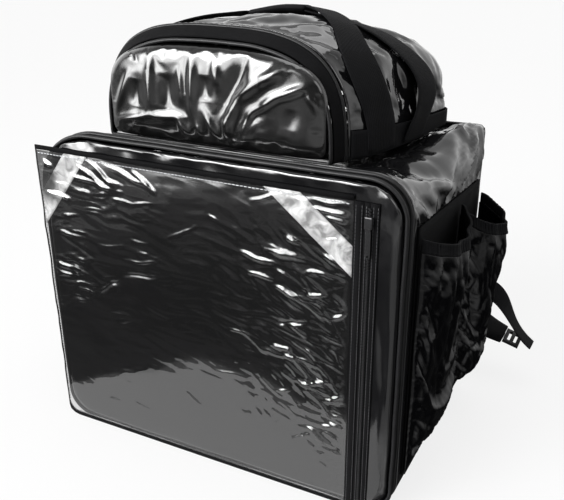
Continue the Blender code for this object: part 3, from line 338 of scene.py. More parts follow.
def lay_sheet(name, across, along, place, width=1.0, length=1.0):
    """Even grid laid on a surface given by two shares; its map is in metres of cloth.

    The shares of the laid points come back too, because a closed sheet loses its doubled points.
    """
    bm = bmesh.new()
    bm.loops.layers.uv.new("UVMap")
    bmesh.ops.create_grid(bm, x_segments=across, y_segments=along, size=0.5, calc_uvs=True)
    layer = bm.loops.layers.uv.active
    shares = np.array([vert.co for vert in bm.verts]) + 0.5
    for face in bm.faces:
        for loop in face.loops:
            spot = loop.vert.co
            loop[layer].uv = ((spot.x + 0.5) * width, (spot.y + 0.5) * length)
    points = place(shares[:, 0], shares[:, 1])
    first = bm.verts.layers.float.new("share_u")
    second = bm.verts.layers.float.new("share_v")
    for vert, point, share in zip(bm.verts, points, shares):
        vert.co = point
        vert[first], vert[second] = share[0], share[1]
    bmesh.ops.remove_doubles(bm, verts=bm.verts, dist=0.02 * MM)
    item = link_mesh(name, bm)
    found = []
    for key in ("share_u", "share_v"):
        values = np.empty(len(item.data.vertices))
        item.data.attributes[key].data.foreach_get("value", values)
        item.data.attributes.remove(item.data.attributes[key])
        found.append(values)
    return item, found[0], found[1]


def field(points, size, seed):
    """Smooth noise from about -1 to 1; size is the width of a wave in metres along x, y and z."""
    spots = points / np.array(size) + np.array((seed, seed * 0.7, seed * 1.3))
    return np.array([noise.noise(Vector(spot)) for spot in spots])


def ridges(points, size, seed):
    """Thin crests from 0 to 1 along the zero lines of the noise."""
    return np.clip(1 - np.abs(field(points, size, seed)) * 4, 0, 1) ** 1.5


def folds(points, table):
    """Sum of separate folds: start, end, width in mm, height in mm; the ends run out to nothing."""
    total = np.zeros(len(points))
    for start, end, width, height in table:
        a = np.array(start)
        run = np.array(end) - a
        share = (points - a) @ run / (run @ run)
        t = np.clip(share, 0, 1)
        away = np.linalg.norm(points - a - t[:, None] * run, axis=1)
        taper = np.sin(np.pi * np.clip(t * 0.92 + 0.04, 0, 1)) ** 0.6
        total += height * MM * taper * np.exp(-(away / (width * MM)) ** 2)
    return total


def near(value, edge, reach):
    """1 at an edge, smoothly down to 0 at a distance from it."""
    t = np.clip(1 - np.abs(value - edge) / reach, 0, 1)
    return t * t * (3 - 2 * t)


def beyond(value, start, end):
    """0 before start, smoothly up to 1 at end."""
    t = np.clip((value - start) / (end - start), 0, 1)
    return t * t * (3 - 2 * t)


def buckle(item, held, grow, reach, push=0.0, weight=0.0, frames=20, bend=0.4):
    """Let a sheet that is cut larger than its place buckle as cloth between the points that hold it."""
    start = points_of(item)
    group = item.vertex_groups.new(name="held")
    for index, share in enumerate(held):
        group.add([index], float(share), "REPLACE")
    cloth = item.modifiers.new("cloth", "CLOTH")
    rules = cloth.settings
    rules.quality = 6
    rules.mass = 0.25
    rules.tension_stiffness = 25
    rules.compression_stiffness = 25
    rules.shear_stiffness = 8
    rules.bending_stiffness = bend
    rules.vertex_group_mass = "held"
    rules.shrink_min = -grow
    rules.use_pressure = push != 0.0
    rules.uniform_pressure_force = push
    rules.effector_weights.gravity = weight
    cloth.point_cache.frame_start = 1
    cloth.point_cache.frame_end = frames
    for step in range(1, frames + 1):
        bpy.context.scene.frame_set(step)
    graph = bpy.context.evaluated_depsgraph_get()
    flat = np.empty(len(start) * 3)
    item.evaluated_get(graph).data.vertices.foreach_get("co", flat)
    moved = flat.reshape(-1, 3) - start
    item.modifiers.clear()
    item.vertex_groups.clear()
    bpy.context.scene.frame_set(1)
    far = np.linalg.norm(moved, axis=1)
    cap = reach * np.tanh(far / reach) / np.maximum(far, 1e-9)
    put_points(item, start + moved * cap[:, None])


def crease(item, free, size, height, seed, lean=0.0):
    """Sharper creases on a sheet, after its buckling; lean tips them back along y as they rise."""
    points, way = points_of(item), normals_of(item)
    tipped = points - np.outer(points[:, 2] * lean, (0, 1, 0))
    rise = height * (ridges(tipped, size, seed) + 0.5 * ridges(tipped, np.array(size) * 0.6, seed + 3) - 0.35)
    put_points(item, points + way * (rise * MM * free)[:, None])


def keep_under(item, base, outward, names, clear=0.5 * MM):
    """Press a sheet down wherever a piece that lies on it would be pierced."""
    solids = []
    for name in names:
        bm = bmesh.new()
        bm.from_mesh(NODES[name].data)
        solids.append(BVHTree.FromBMesh(bm))
        bm.free()
    points = points_of(item)
    for index, (spot, way) in enumerate(zip(base, outward)):
        room = 1.0
        start = Vector(spot - way * 0.002)
        for solid in solids:
            hit = solid.ray_cast(start, Vector(way), 0.030)
            if hit[0] is not None:
                room = min(room, hit[3] - 0.002 - clear)
        over = (points[index] - spot) @ way - room
        if over > 0:
            points[index] -= way * over
    put_points(item, points)


def wall(item, thickness, offset=-1.0):
    """Thickness of a sheet; -1 puts it inside the laid face."""
    made = item.modifiers.new("wall", "SOLIDIFY")
    made.thickness = thickness
    made.offset = offset
    return item


def dress(item, material, nodes=(), body="root"):
    """Give a piece its material and body, and take the solids that it stands for out of view."""
    item.data.materials.clear()
    item.data.materials.append(material)
    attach(item, body)
    if nodes:
        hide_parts(*nodes)
    return item


def finish_solid(node, material):
    """Give a solid that stays in view its own material."""
    NODES[node].data.materials.clear()
    NODES[node].data.materials.append(material)


def soften(node, name, levels, longest, sharp=50.0, shape=None):
    """Rounded, evenly divided copy of a solid whose hard edges stay; shape moves it along its normals."""
    bm = bmesh.new()
    bm.from_mesh(NODES[node].data)
    bmesh.ops.remove_doubles(bm, verts=bm.verts, dist=0.01 * MM)
    bmesh.ops.join_triangles(bm, faces=bm.faces, angle_face_threshold=math.radians(35),
                             angle_shape_threshold=math.radians(60))
    kept_hard = bm.edges.layers.float.new("crease_edge")
    for edge in bm.edges:
        if len(edge.link_faces) == 2 and edge.calc_face_angle() > math.radians(sharp):
            edge[kept_hard] = 0.9
    item = link_mesh(name, bm)
    grow = item.modifiers.new("round", "SUBSURF")
    grow.levels = levels
    grow.render_levels = levels
    graph = bpy.context.evaluated_depsgraph_get()
    item.data = bpy.data.meshes.new_from_object(item.evaluated_get(graph))
    item.modifiers.clear()
    bm = bmesh.new()
    bm.from_mesh(item.data)
    for _ in range(5):
        long_edges = [edge for edge in bm.edges if edge.calc_length() > longest]
        if not long_edges:
            break
        bmesh.ops.subdivide_edges(bm, edges=long_edges, cuts=1, use_grid_fill=True)
    layer = bm.loops.layers.uv.verify()
    for face in bm.faces:
        flat = max(range(3), key=lambda axis: abs(face.normal[axis]))
        first, second = [axis for axis in range(3) if axis != flat]
        for loop in face.loops:
            loop[layer].uv = (loop.vert.co[first], loop.vert.co[second])
    bm.to_mesh(item.data)
    bm.free()
    item.data.shade_smooth()
    if shape is not None:
        points, outward = points_of(item), normals_of(item)
        put_points(item, points + outward * shape(points, outward)[:, None])
    return item


# Outlines

def read(table, share):
    """Columns of a table along a smooth curve through its rows; the first column is the share."""
    rows = np.array(table, float)
    knots, values = rows[:, 0], rows[:, 1:]
    slope = np.gradient(values, knots, axis=0)
    share = np.clip(np.asarray(share, float), knots[0], knots[-1])
    k = np.clip(np.searchsorted(knots, share) - 1, 0, len(knots) - 2)
    span = (knots[k + 1] - knots[k])[:, None]
    t = ((share - knots[k])[:, None]) / span
    return ((1 + 2 * t) * (1 - t) ** 2 * values[k] + t * (1 - t) ** 2 * span * slope[k]
            + t * t * (3 - 2 * t) * values[k + 1] + t * t * (t - 1) * span * slope[k + 1])


def seam_height(y):
    return SEAM_FRONT + (SEAM_BACK - SEAM_FRONT) * (y - GUSSET_START) / (GUSSET_END - GUSSET_START)


def upper_size(y):
    """Middle, half width and height of the upper bag at a depth."""
    width, height, shift = read(UPPER_ROWS, (y - UPPER_FRONT) / UPPER_DEPTH).T
    return shift * UPPER_SHIFT, width * UPPER_WIDTH / 2, height * UPPER_HEIGHT


def even_arch():
    """Unit arch of power 3 from its left foot to its right one, at even steps of length."""
    turn = np.linspace(np.pi, 0, 4001)
    x = np.sign(np.cos(turn)) * np.abs(np.cos(turn)) ** (2 / 3)
    z = np.abs(np.sin(turn)) ** (2 / 3)
    step = np.hypot(np.diff(x) * 1.35, np.diff(z))
    length = np.concatenate(([0], np.cumsum(step)))
    return length / length[-1], x, z


ARCH_SHARE, ARCH_X, ARCH_Z = even_arch()
FOOT_SHARE = 0.018


def arch_points(u, half, height, proud=0.0):
    """Points of the arch with its rounded feet; u runs from the left foot to the right one."""
    inner = np.clip((u - FOOT_SHARE) / (1 - 2 * FOOT_SHARE), 0, 1)
    x = np.interp(inner, ARCH_SHARE, ARCH_X) * (half + proud)
    z = UPPER_BASE + UPPER_FOOT + np.interp(inner, ARCH_SHARE, ARCH_Z) * (height - UPPER_FOOT + proud)
    tuck = np.clip(1 - np.minimum(u, 1 - u) / FOOT_SHARE, 0, 1) * np.pi / 2
    x -= np.sign(u - 0.5) * UPPER_FOOT * (1 - np.cos(tuck))
    z -= UPPER_FOOT * np.sin(tuck)
    return x, z


def box_line(sharpness, high, inset=0.0, low=0.0):
    """Rounded outline of the box in X and Z, clockwise from the middle of its base."""
    x = HALF_WIDTH - inset
    low += inset
    high -= inset
    corners = (
        (-x, low, max(LOW_RADIUS - inset, 0.002), 270, 180),
        (-x, high, max(TOP_LEFT_RADIUS - inset, 0.002), 180, 90),
        (x, high, max(TOP_RIGHT_RADIUS * sharpness - inset, 0.002), 90, 0),
        (x, low, max(LOW_RADIUS - inset, 0.002), 0, -90),
    )
    line = [(0.0, low)]
    for cx, cz, r, start, end in corners:
        mx = cx - math.copysign(r, cx)
        mz = cz + r if cz == low else cz - r
        for angle in np.radians(np.linspace(start, end, 13)):
            line.append((mx + r * math.cos(angle), mz + r * math.sin(angle)))
    line.append((0.0, low))
    return np.array(line)


def even_line(line, shares):
    """Points of a line at shares of its length."""
    length = np.concatenate(([0], np.cumsum(np.linalg.norm(np.diff(line, axis=0), axis=1))))
    columns = [np.interp(shares, length / length[-1], line[:, k]) for k in range(line.shape[1])]
    return np.stack(columns, axis=1)


def cord_along(name, line, radius, sides=8, closed=True):
    """Round cord along points in space, made a mesh."""
    curve = bpy.data.curves.new(name, "CURVE")
    curve.dimensions = "3D"
    curve.bevel_depth = radius
    curve.bevel_resolution = (sides - 4) // 2
    spline = curve.splines.new("POLY")
    spline.points.add(len(line) - 1)
    for point, spot in zip(spline.points, line):
        point.co = (*spot, 1.0)
    spline.use_cyclic_u = closed
    item = bpy.data.objects.new(name, curve)
    bpy.context.scene.collection.objects.link(item)
    graph = bpy.context.evaluated_depsgraph_get()
    mesh = bpy.data.meshes.new_from_object(item.evaluated_get(graph))
    bpy.data.objects.remove(item)
    bpy.data.curves.remove(curve)
    mesh.shade_smooth()
    made = bpy.data.objects.new(name, mesh)
    bpy.context.scene.collection.objects.link(made)
    return made


def sew(name, lines, outward, stitch=3.2, gap=1.3, width=0.7):
    """Rows of thread stitches along lines, each a small rounded bar lying on the cloth."""
    bm = bmesh.new()
    for line in lines:
        line = np.array(line, float)
        total = np.linalg.norm(np.diff(line, axis=0), axis=1).sum()
        count = max(int(total / ((stitch + gap) * MM)), 1)
        ends = even_line(line, np.linspace(0, 1, count * 2 + 1))
        for k in range(count):
            a, b = Vector(ends[2 * k]), Vector(ends[2 * k + 1])
            run = (b - a).normalized()
            up = Vector(outward)
            side = run.cross(up).normalized()
            up = side.cross(run)
            turn = Matrix((run, side, up)).transposed().to_4x4()
            place = Matrix.Translation((a + b) / 2) @ turn
            size = Matrix.Diagonal((stitch * MM, width * MM, width * 0.6 * MM, 1.0))
            made = bmesh.ops.create_cube(bm, size=1.0, matrix=place @ size)
            top = [edge for vert in made["verts"] for edge in vert.link_edges]
            bmesh.ops.bevel(bm, geom=list(set(top)), offset=0.16 * width * MM, affect="EDGES", segments=1,
                            profile=0.5, material=-1)
    return link_mesh(name, bm)


# Upper bag

def lay_upper_shell(u, v):
    along = np.clip(v / 0.84, 0, 1)
    y = SHELL_START + (UPPER_BACK - SHELL_START) * along
    shut = np.clip((v - 0.84) / 0.16, 0, 1)
    middle, half, height = upper_size(y)
    x, z = arch_points(u, half, height)
    centre = UPPER_BASE + height * 0.45
    y = y + 0.004 * np.sin(shut * np.pi / 2)
    return np.stack([middle + x * (1 - shut), y, centre + (z - centre) * (1 - shut)], axis=1)


def belt_top(y):
    return UPPER_BASE + 0.032 - 0.014 * np.clip((y - SHELL_START) / (UPPER_BACK - SHELL_START), 0, 1)


# Folds of the upper bag's top and right side: start, end, width mm, height mm
UPPER_FOLDS = (
    ((-0.10, -0.075, 0.500), (-0.02, -0.01, 0.502), 7, 3.0),
    ((-0.03, -0.078, 0.502), (0.05, 0.00, 0.500), 8, -3.0),
    ((0.04, -0.078, 0.500), (0.12, -0.02, 0.485), 7, 3.5),
    ((0.09, -0.078, 0.480), (0.155, -0.03, 0.440), 6, 3.5),
    ((0.12, -0.078, 0.460), (0.160, -0.01, 0.410), 7, -3.0),
    ((0.155, 0.00, 0.470), (0.172, 0.03, 0.405), 5, 3.0),
    ((0.158, 0.03, 0.455), (0.175, 0.06, 0.400), 5, 3.0),
    ((0.160, 0.06, 0.450), (0.177, 0.09, 0.398), 6, -3.0),
    ((0.10, 0.06, 0.490), (0.165, 0.10, 0.430), 8, 4.0),
    ((-0.13, -0.07, 0.470), (-0.155, 0.02, 0.430), 8, 4.0),
    ((-0.15, -0.06, 0.440), (-0.165, 0.05, 0.410), 7, -3.0),
    ((-0.08, 0.06, 0.495), (-0.15, 0.10, 0.440), 8, 4.0),
    ((0.00, 0.08, 0.480), (0.10, 0.11, 0.460), 7, 3.0),
)


def sag(points):
    """How far the slack left half of the upper bag hangs below its arch."""
    height = np.clip((points[:, 2] - UPPER_BASE) / UPPER_HEIGHT, 0, 1)
    across = beyond(-points[:, 0], -0.02, 0.06) * (1 - 0.5 * beyond(-points[:, 0], 0.10, 0.16))
    return 0.011 * height * across * beyond(points[:, 1], -0.085, -0.035)


def hang(item):
    """Let a piece that lies on the upper bag follow its slack half."""
    points = points_of(item)
    points[:, 2] -= sag(points)
    put_points(item, points)


def fuller(points):
    """How far the rear right corner of the upper bag stands out."""
    behind = near(points[:, 1], 0.085, 0.07)
    return 0.007 * behind * beyond(points[:, 0], 0.09, 0.14) * beyond(points[:, 2], 0.41, 0.45)


upper_shell, _, sv = lay_sheet("upper_bag_shell", 150, 84, lay_upper_shell, 0.56, 0.30)
outward = normals_of(upper_shell)
base = points_of(upper_shell)
base += outward * fuller(base)[:, None]
base[:, 2] -= sag(base)
put_points(upper_shell, base)
over_belt = base[:, 2] - belt_top(base[:, 1])
free = (1 - near(sv, 0, 0.05)) * beyond(over_belt, 0.002, 0.014)
free *= 1 - 0.7 * beyond(sv, 0.90, 1.0)
start = folds(base, UPPER_FOLDS) + 2.2 * MM * field(base, (0.06, 0.06, 0.06), 3.1) - 1.5 * MM
put_points(upper_shell, base + outward * (start * free)[:, None])
buckle(upper_shell, 1 - free, 0.02, 0.006, bend=3.0)
crease(upper_shell, free, (0.045, 0.020, 0.060), 1.1, 2.2)
keep_under(upper_shell, base, outward, [
    "handle_strap_front_right", "handle_strap_rear_right", "handle_grip", "base_belt",
])
dress(wall(upper_shell, 0.8 * MM), VINYL, ["upper_shell"])


PANEL_SIZE = [value[0] for value in upper_size(np.array([UPPER_FRONT]))]
PANEL_EDGE = 0.0043


def lay_upper_panel(u, v):
    """Puffed panel in its arch: a square whose outline is pressed into the arch."""
    middle, half, height = PANEL_SIZE
    a, b = 2 * u - 1, 2 * v - 1
    power = np.where(b > 0, 3.0, 14.0)
    ring = np.maximum(np.abs(a), np.abs(b))
    scale = ring / np.maximum((np.abs(a) ** power + np.abs(b) ** power) ** (1 / power), 1e-9)
    centre = 0.42 * height
    up = np.where(b > 0, height - PANEL_EDGE - centre, centre - PANEL_EDGE)
    puff = (1 - ring ** 4) ** 0.5
    return np.stack([
        middle + (half - PANEL_EDGE) * a * scale,
        UPPER_PIPING_Y - PANEL_PUFF * puff,
        UPPER_BASE + centre + up * b * scale,
    ], axis=1)


# Folds of the puffed panel: across and up at both ends, in shares of its half width from the middle
# and of its height; then width mm, height mm. Crests hang from the top edge with hollows between
# them, one long sweep is on the right, and small puckers are along the base.
PANEL_FOLDS = (
    (-0.72, 0.67, -0.91, 0.22, 5.0, 2.6),
    (-0.51, 0.79, -0.53, 0.31, 4.5, 2.2),
    (-0.24, 0.74, -0.22, 0.44, 4.0, 1.6),
    (-0.12, 0.81, -0.14, 0.36, 5.0, 2.8),
    (0.07, 0.85, 0.11, 0.63, 5.0, 2.0),
    (0.63, 0.80, 0.45, 0.70, 6.0, 3.0),
    (0.46, 0.70, 0.26, 0.55, 6.0, 3.0),
    (0.28, 0.57, 0.16, 0.26, 6.0, 3.4),
    (0.16, 0.34, 0.18, 0.14, 4.0, 2.4),
    (0.24, 0.12, 0.40, 0.20, 4.0, 2.4),
    (0.83, 0.69, 0.59, 0.58, 4.2, 3.2),
    (0.60, 0.59, 0.38, 0.41, 4.2, 3.2),
    (0.40, 0.43, 0.28, 0.19, 4.0, 2.8),
    (0.43, 0.36, 0.31, 0.17, 3.2, 1.6),
    (0.83, 0.64, 0.93, 0.46, 4.0, 3.0),
    (0.93, 0.48, 0.98, 0.20, 4.0, 2.4),
    (-0.93, 0.18, -0.57, 0.28, 4.0, 2.6),
    (-0.60, 0.28, -0.20, 0.31, 4.0, 1.5),
    (-0.27, 0.28, -0.19, 0.14, 3.6, 2.4),
    (0.00, 0.34, 0.08, 0.16, 3.6, 2.4),
    (-0.09, 0.26, -0.06, 0.13, 3.2, 2.0),
    (-0.64, 0.61, -0.66, 0.36, 7.5, -3.0),
    (-0.36, 0.69, -0.36, 0.38, 8.0, -3.2),
    (-0.01, 0.71, -0.01, 0.49, 7.0, -2.6),
    (0.32, 0.84, 0.19, 0.45, 8.5, -3.6),
    (0.49, 0.53, 0.36, 0.29, 6.0, -2.4),
    (0.72, 0.49, 0.69, 0.31, 8.0, -1.2),
)


def placed(rows, corner, size):
    """Fold rows given in shares of an upright face, from one of its points, as rows for folds()."""
    (x, z), (wide, high) = corner, size
    return [((x + wide * a, 0, z + high * b), (x + wide * c, 0, z + high * d), width, height)
            for a, b, c, d, width, height in rows]


upper_panel, pu, pv = lay_sheet("upper_bag_front_panel", 104, 64, lay_upper_panel, 0.26, 0.12)
base, outward = points_of(upper_panel), normals_of(upper_panel)
rim = np.minimum(np.minimum(pu, 1 - pu), np.minimum(pv, 1 - pv)) * 2
free = beyond(rim, 0.0, 0.16)
rows = placed(PANEL_FOLDS, (PANEL_SIZE[0], UPPER_BASE), PANEL_SIZE[1:])
start = folds(base * (1, 0, 1), rows) + 1.0 * MM * field(base, (0.035, 0.035, 0.045), 1.7)
put_points(upper_panel, base + outward * (start * free)[:, None])
buckle(upper_panel, 1 - beyond(rim, 0.0, 0.06), 0.006, 0.0015, bend=4.0)
dress(wall(upper_panel, 1.2 * MM), PUFFED, ["upper_front_panel"])


def lay_upper_band(u, v):
    y = BAND_START + (BAND_END - BAND_START) * v
    middle, half, height = upper_size(y)
    x, z = arch_points(u, half, height)
    return np.stack([middle + x, y, z], axis=1)


upper_band, _, bv = lay_sheet("upper_bag_zip_band", 150, 8, lay_upper_band, 0.56, 0.0135)
base, outward = points_of(upper_band), normals_of(upper_band)
ripple = 0.9 * MM * field(base, (0.03, 0.02, 0.03), 5.5) * np.sin(np.pi * bv)
put_points(upper_band, base + outward * ripple[:, None])
dress(wall(upper_band, 2.0 * MM), CLOTH, ["upper_zip_band"])


def arch_ring(y, inset, proud, count=220):
    """Closed line round the front of the upper bag, moved in from its outside."""
    middle, half, height = [value[0] for value in upper_size(np.array([y]))]
    x, z = arch_points(np.linspace(0, 1, count), half - inset, height - inset, proud)
    z = np.maximum(z, UPPER_BASE + inset)
    return np.stack([middle + x, np.full(count, y), z], axis=1)


def wobble(line, size, depth, seed):
    """Small sideways play of a sewn cord."""
    play = np.stack([field(line, (size,) * 3, seed + k) for k in range(3)], axis=1)
    return line + depth * play


for node, y, inset, proud in (
    ("upper_door_piping", UPPER_PIPING_Y, 0.002, 0.0),
    ("upper_shell_piping", SHELL_PIPING_Y, 0.002, 0.001),
):
    line = wobble(arch_ring(y, inset, proud), 0.03, 0.6 * MM, 4.0)
    dress(cord_along(node.replace("_piping", "_welt"), line, 2.0 * MM), PIPING, [node])


def lay_belt(u, v):
    """Webbing round the sides and back of the base, from the left front to the right front."""
    line = BELT_LINE
    spot = even_line(line, u)
    low = UPPER_BASE + 0.003
    return np.stack([spot[:, 0], spot[:, 1], low + (belt_top(spot[:, 1]) - low) * v], axis=1)


def belt_line():
    y = np.concatenate((np.linspace(SHELL_START + 0.0006, UPPER_FRONT + 0.9 * UPPER_DEPTH, 24),
                        UPPER_FRONT + UPPER_DEPTH * np.array((0.93, 0.965, 1.0))))
    middle, half, _ = upper_size(y)
    right = np.stack([middle + half + 0.0018, y], axis=1)
    left = np.stack([middle - half - 0.0018, y], axis=1)
    right[-1, 1] += 0.0018
    left[-1, 1] += 0.0018
    return np.concatenate((left, right[::-1]))


BELT_LINE = belt_line()
belt, _, _ = lay_sheet("upper_bag_belt", 160, 8, lay_belt, 0.74, 0.032)
base, outward = points_of(belt), normals_of(belt)
put_points(belt, base + outward * (0.5 * MM * field(base, (0.04,) * 3, 2.0))[:, None])
dress(wall(belt, 1.5 * MM), WEBBING, ["base_belt"])


# Lower box

def lay_gusset(u, v):
    points = np.empty((len(u), 3))
    for share in np.unique(np.round(v, 6)):
        chosen = np.abs(v - share) < 1e-5
        drop, sharp = read(GUSSET_ROWS, [share])[0]
        line = even_line(box_line(sharp, BOX_HEIGHT - LID_DROP * drop), u[chosen])
        points[chosen, 0] = line[:, 0]
        points[chosen, 1] = GUSSET_START + (GUSSET_END - GUSSET_START) * share
        points[chosen, 2] = line[:, 1]
    return points


# Folds of the glossy lid and shoulders: start, end, width mm, height mm
SHOULDER_FOLDS = (
    ((0.205, -0.090, 0.368), (0.205, 0.100, 0.369), 7, 4.5),
    ((0.218, 0.100, 0.366), (0.221, 0.020, 0.314), 6, 5.0),
    ((0.218, 0.115, 0.366), (0.221, 0.075, 0.310), 5, -4.0),
    ((0.219, 0.122, 0.364), (0.221, 0.110, 0.306), 5, 5.0),
    ((0.216, 0.060, 0.366), (0.221, -0.020, 0.318), 7, -4.5),
    ((0.212, -0.080, 0.362), (0.221, 0.005, 0.330), 7, 5.0),
    ((0.214, -0.100, 0.355), (0.221, -0.060, 0.322), 6, -4.0),
    ((0.216, -0.108, 0.345), (0.221, -0.090, 0.324), 5, 4.0),
    ((0.221, -0.020, 0.350), (0.221, -0.035, 0.322), 4, 4.0),
    ((0.192, 0.020, 0.369), (0.210, 0.130, 0.367), 6, 4.0),
    ((0.188, 0.090, 0.369), (0.216, 0.075, 0.368), 5, 4.0),
    ((0.180, 0.132, 0.367), (0.214, 0.105, 0.368), 6, 4.5),
    ((0.150, -0.112, 0.370), (0.200, -0.104, 0.368), 5, 4.0),
    ((-0.205, -0.060, 0.355), (-0.195, 0.100, 0.355), 9, 5.0),
    ((-0.219, 0.060, 0.340), (-0.221, 0.010, 0.312), 6, 4.5),
    ((-0.219, -0.060, 0.340), (-0.221, -0.020, 0.320), 6, 4.5),
    ((-0.219, 0.115, 0.340), (-0.221, 0.090, 0.308), 6, 4.5),
    ((-0.150, -0.115, 0.370), (-0.190, -0.080, 0.366), 6, 4.0),
    ((-0.100, -0.113, 0.370), (-0.040, -0.108, 0.370), 4, 3.0),
    ((0.000, -0.113, 0.370), (0.070, -0.109, 0.370), 4, 3.0),
)

gusset, _, gv = lay_sheet("box_gusset", 330, 54, lay_gusset, 1.62, 0.26)
base, outward = points_of(gusset), normals_of(gusset)
middle, half, _ = upper_size(np.clip(base[:, 1], UPPER_FRONT, UPPER_BACK))
aside = np.maximum(UPPER_FRONT - base[:, 1], base[:, 1] - UPPER_BACK)
aside = np.maximum(aside, np.abs(base[:, 0] - middle) - half)
seam = seam_height(base[:, 1])
free = beyond(base[:, 2], seam + 0.001, seam + 0.010) * beyond(aside, 0.0, 0.008)
free *= beyond(gv, 0.0, 0.04) * beyond(1 - gv, 0.0, 0.03)
# Small gathers along the seam to the cloth side
drawn = base[:, 1] + 0.004 * field(base, (0.02,) * 3, 6.0)
gathers = near(base[:, 2], seam, 0.014) * np.sin(2 * np.pi * drawn / 0.011)
start = (folds(base, SHOULDER_FOLDS) + 2.0 * MM * field(base, (0.05, 0.04, 0.035), 4.4)) * free
start += 0.9 * MM * gathers * beyond(base[:, 2], seam - 0.002, seam + 0.003) * (np.abs(base[:, 0]) > 0.2)
# The lid sinks round the upper bag's right rear corner
dip = beyond(base[:, 1], 0.05, 0.137) * near(base[:, 0], 0.150, 0.070) * (base[:, 2] > 0.33)
laid = base + outward * start[:, None]
laid[:, 2] -= 0.013 * dip * beyond(np.abs(base[:, 0]), 0.0, 0.14)
put_points(gusset, laid)
buckle(gusset, 1 - free, 0.02, 0.005, bend=2.0)
crease(gusset, free, (0.060, 0.013, 0.050), 0.8, 9.0, 0.35)
dress(wall(gusset, 1.5 * MM), VINYL, ["lower_shell"])


# Margins of the door round the pocket: start, end, width mm, height mm
DOOR_FOLDS = (
    ((-0.190, -0.140, 0.371), (-0.165, -0.142, 0.353), 5, 3.0),
    ((-0.165, -0.140, 0.372), (-0.120, -0.142, 0.352), 4, -2.5),
    ((-0.140, -0.140, 0.373), (-0.090, -0.142, 0.353), 5, 3.0),
    ((-0.070, -0.140, 0.373), (-0.035, -0.142, 0.354), 4, -1.6),
    ((-0.030, -0.140, 0.373), (0.020, -0.142, 0.358), 4, 1.6),
    ((0.060, -0.140, 0.373), (0.130, -0.142, 0.356), 4, 1.6),
    ((0.140, -0.140, 0.371), (0.190, -0.142, 0.350), 5, 1.8),
    ((0.203, -0.142, 0.340), (0.206, -0.142, 0.230), 5, 1.4),
    ((0.199, -0.142, 0.250), (0.206, -0.142, 0.140), 4, -1.4),
    ((0.206, -0.142, 0.160), (0.200, -0.142, 0.050), 5, 1.4),
)
door = soften("lower_front_panel", "box_door", 1, 0.009, 50.0, lambda points, way: (
    (folds(points, DOOR_FOLDS) + 0.6 * MM * field(points, (0.05,) * 3, 9.4)) * (way[:, 1] < 0.2)))
spots = points_of(door)
# Above the pocket the door's face is flat up to its roll, and leans back a little on the left
margin = beyond(spots[:, 2], 0.330, 0.350) * (1 - beyond(spots[:, 2], 0.3712, 0.3738))
margin *= spots[:, 1] < -0.1365
lean = 0.14 * (spots[:, 2] - 0.350) * near(spots[:, 0], -0.150, 0.055)
flat_face = lean - 0.1426 + 2.2 * MM * np.abs(field(spots, (0.035, 1.0, 0.02), 12.0))
spots[:, 1] += (flat_face - spots[:, 1]) * margin
roll = near(spots[:, 2], 0.372, 0.012) * (spots[:, 1] < -0.134)
spots[:, 1] += 2.4 * MM * field(spots, (0.020, 1.0, 0.02), 19.0) * roll
spots[:, 2] -= 0.8 * MM * (1 + field(spots, (0.030, 1.0, 0.02), 23.0)) * roll
put_points(door, spots)
dress(door, VINYL, ["lower_front_panel"])
back = soften("lower_back_panel", "box_back_pad", 1, 0.010, 50.0, lambda points, way: (
    1.4 * MM * field(points, (0.06,) * 3, 6.4) * (way[:, 1] > 0.5)))
dress(back, CLOTH, ["lower_back_panel"])

for node, y, rear in (
    ("door_piping", -0.1372, False),
    ("gusset_piping", -0.1252, False),
    ("back_piping", 0.1392, True),
):
    high = BOX_HEIGHT - LID_DROP * 1.3 if rear else BOX_HEIGHT
    outline = box_line(0.2 if rear else 1.0, high, PIPING_RADIUS, 0.0008)
    outline = even_line(outline, np.linspace(0, 1, 361)[:-1])
    line = np.stack([outline[:, 0], np.full(360, y), outline[:, 1]], axis=1)
    line = wobble(line, 0.05, 0.7 * MM, 7.0)
    line[:, 2] = np.maximum(line[:, 2], 0.003)
    dress(cord_along(node.replace("piping", "welt"), line, PIPING_RADIUS), PIPING, [node])


# Clear pocket

def soft_edge(points):
    """Sideways play of the pocket's free left edge, and of what is sewn to it."""
    up = points * (0, 0, 1)
    play = field(up, (1.0, 1.0, 0.035), 17.0) + 0.5 * field(up, (1.0, 1.0, 0.012), 5.0)
    ends = beyond(points[:, 2], 0.03, 0.06) * (1 - beyond(points[:, 2], 0.33, 0.352))
    return 1.8 * MM * play * beyond(-points[:, 0], 0.180, 0.212) * ends


def lay_film(u, v):
    z = FILM_LOW + (FILM_TOP - FILM_LOW) * v
    up = np.clip(z - FILM_LOW, 0, FILM_RADIUS)
    cut = FILM_RADIUS - np.sqrt(FILM_RADIUS ** 2 - (FILM_RADIUS - up) ** 2)
    x = FILM_LEFT + cut + (FILM_RIGHT - FILM_LEFT - cut) * u
    points = np.stack([x, np.full(len(x), FRONT_Y), z], axis=1)
    points[:, 0] += soft_edge(points)
    return points


def streaks(points, length, width, turn, seed):
    """Wrinkles that run one way: long and narrow noise, turned in the plane of the door."""
    angle = math.radians(turn)
    along = points[:, 0] * math.cos(angle) + points[:, 2] * math.sin(angle)
    across = points[:, 2] * math.cos(angle) - points[:, 0] * math.sin(angle)
    bent = across + 0.3 * width * np.sin(along / length * 2.1)
    flat = np.stack([along, np.zeros(len(along)), bent], axis=1)
    return field(flat, (length, 1.0, width), seed), ridges(flat, (length * 1.4, 1.0, width * 1.6), seed + 5)


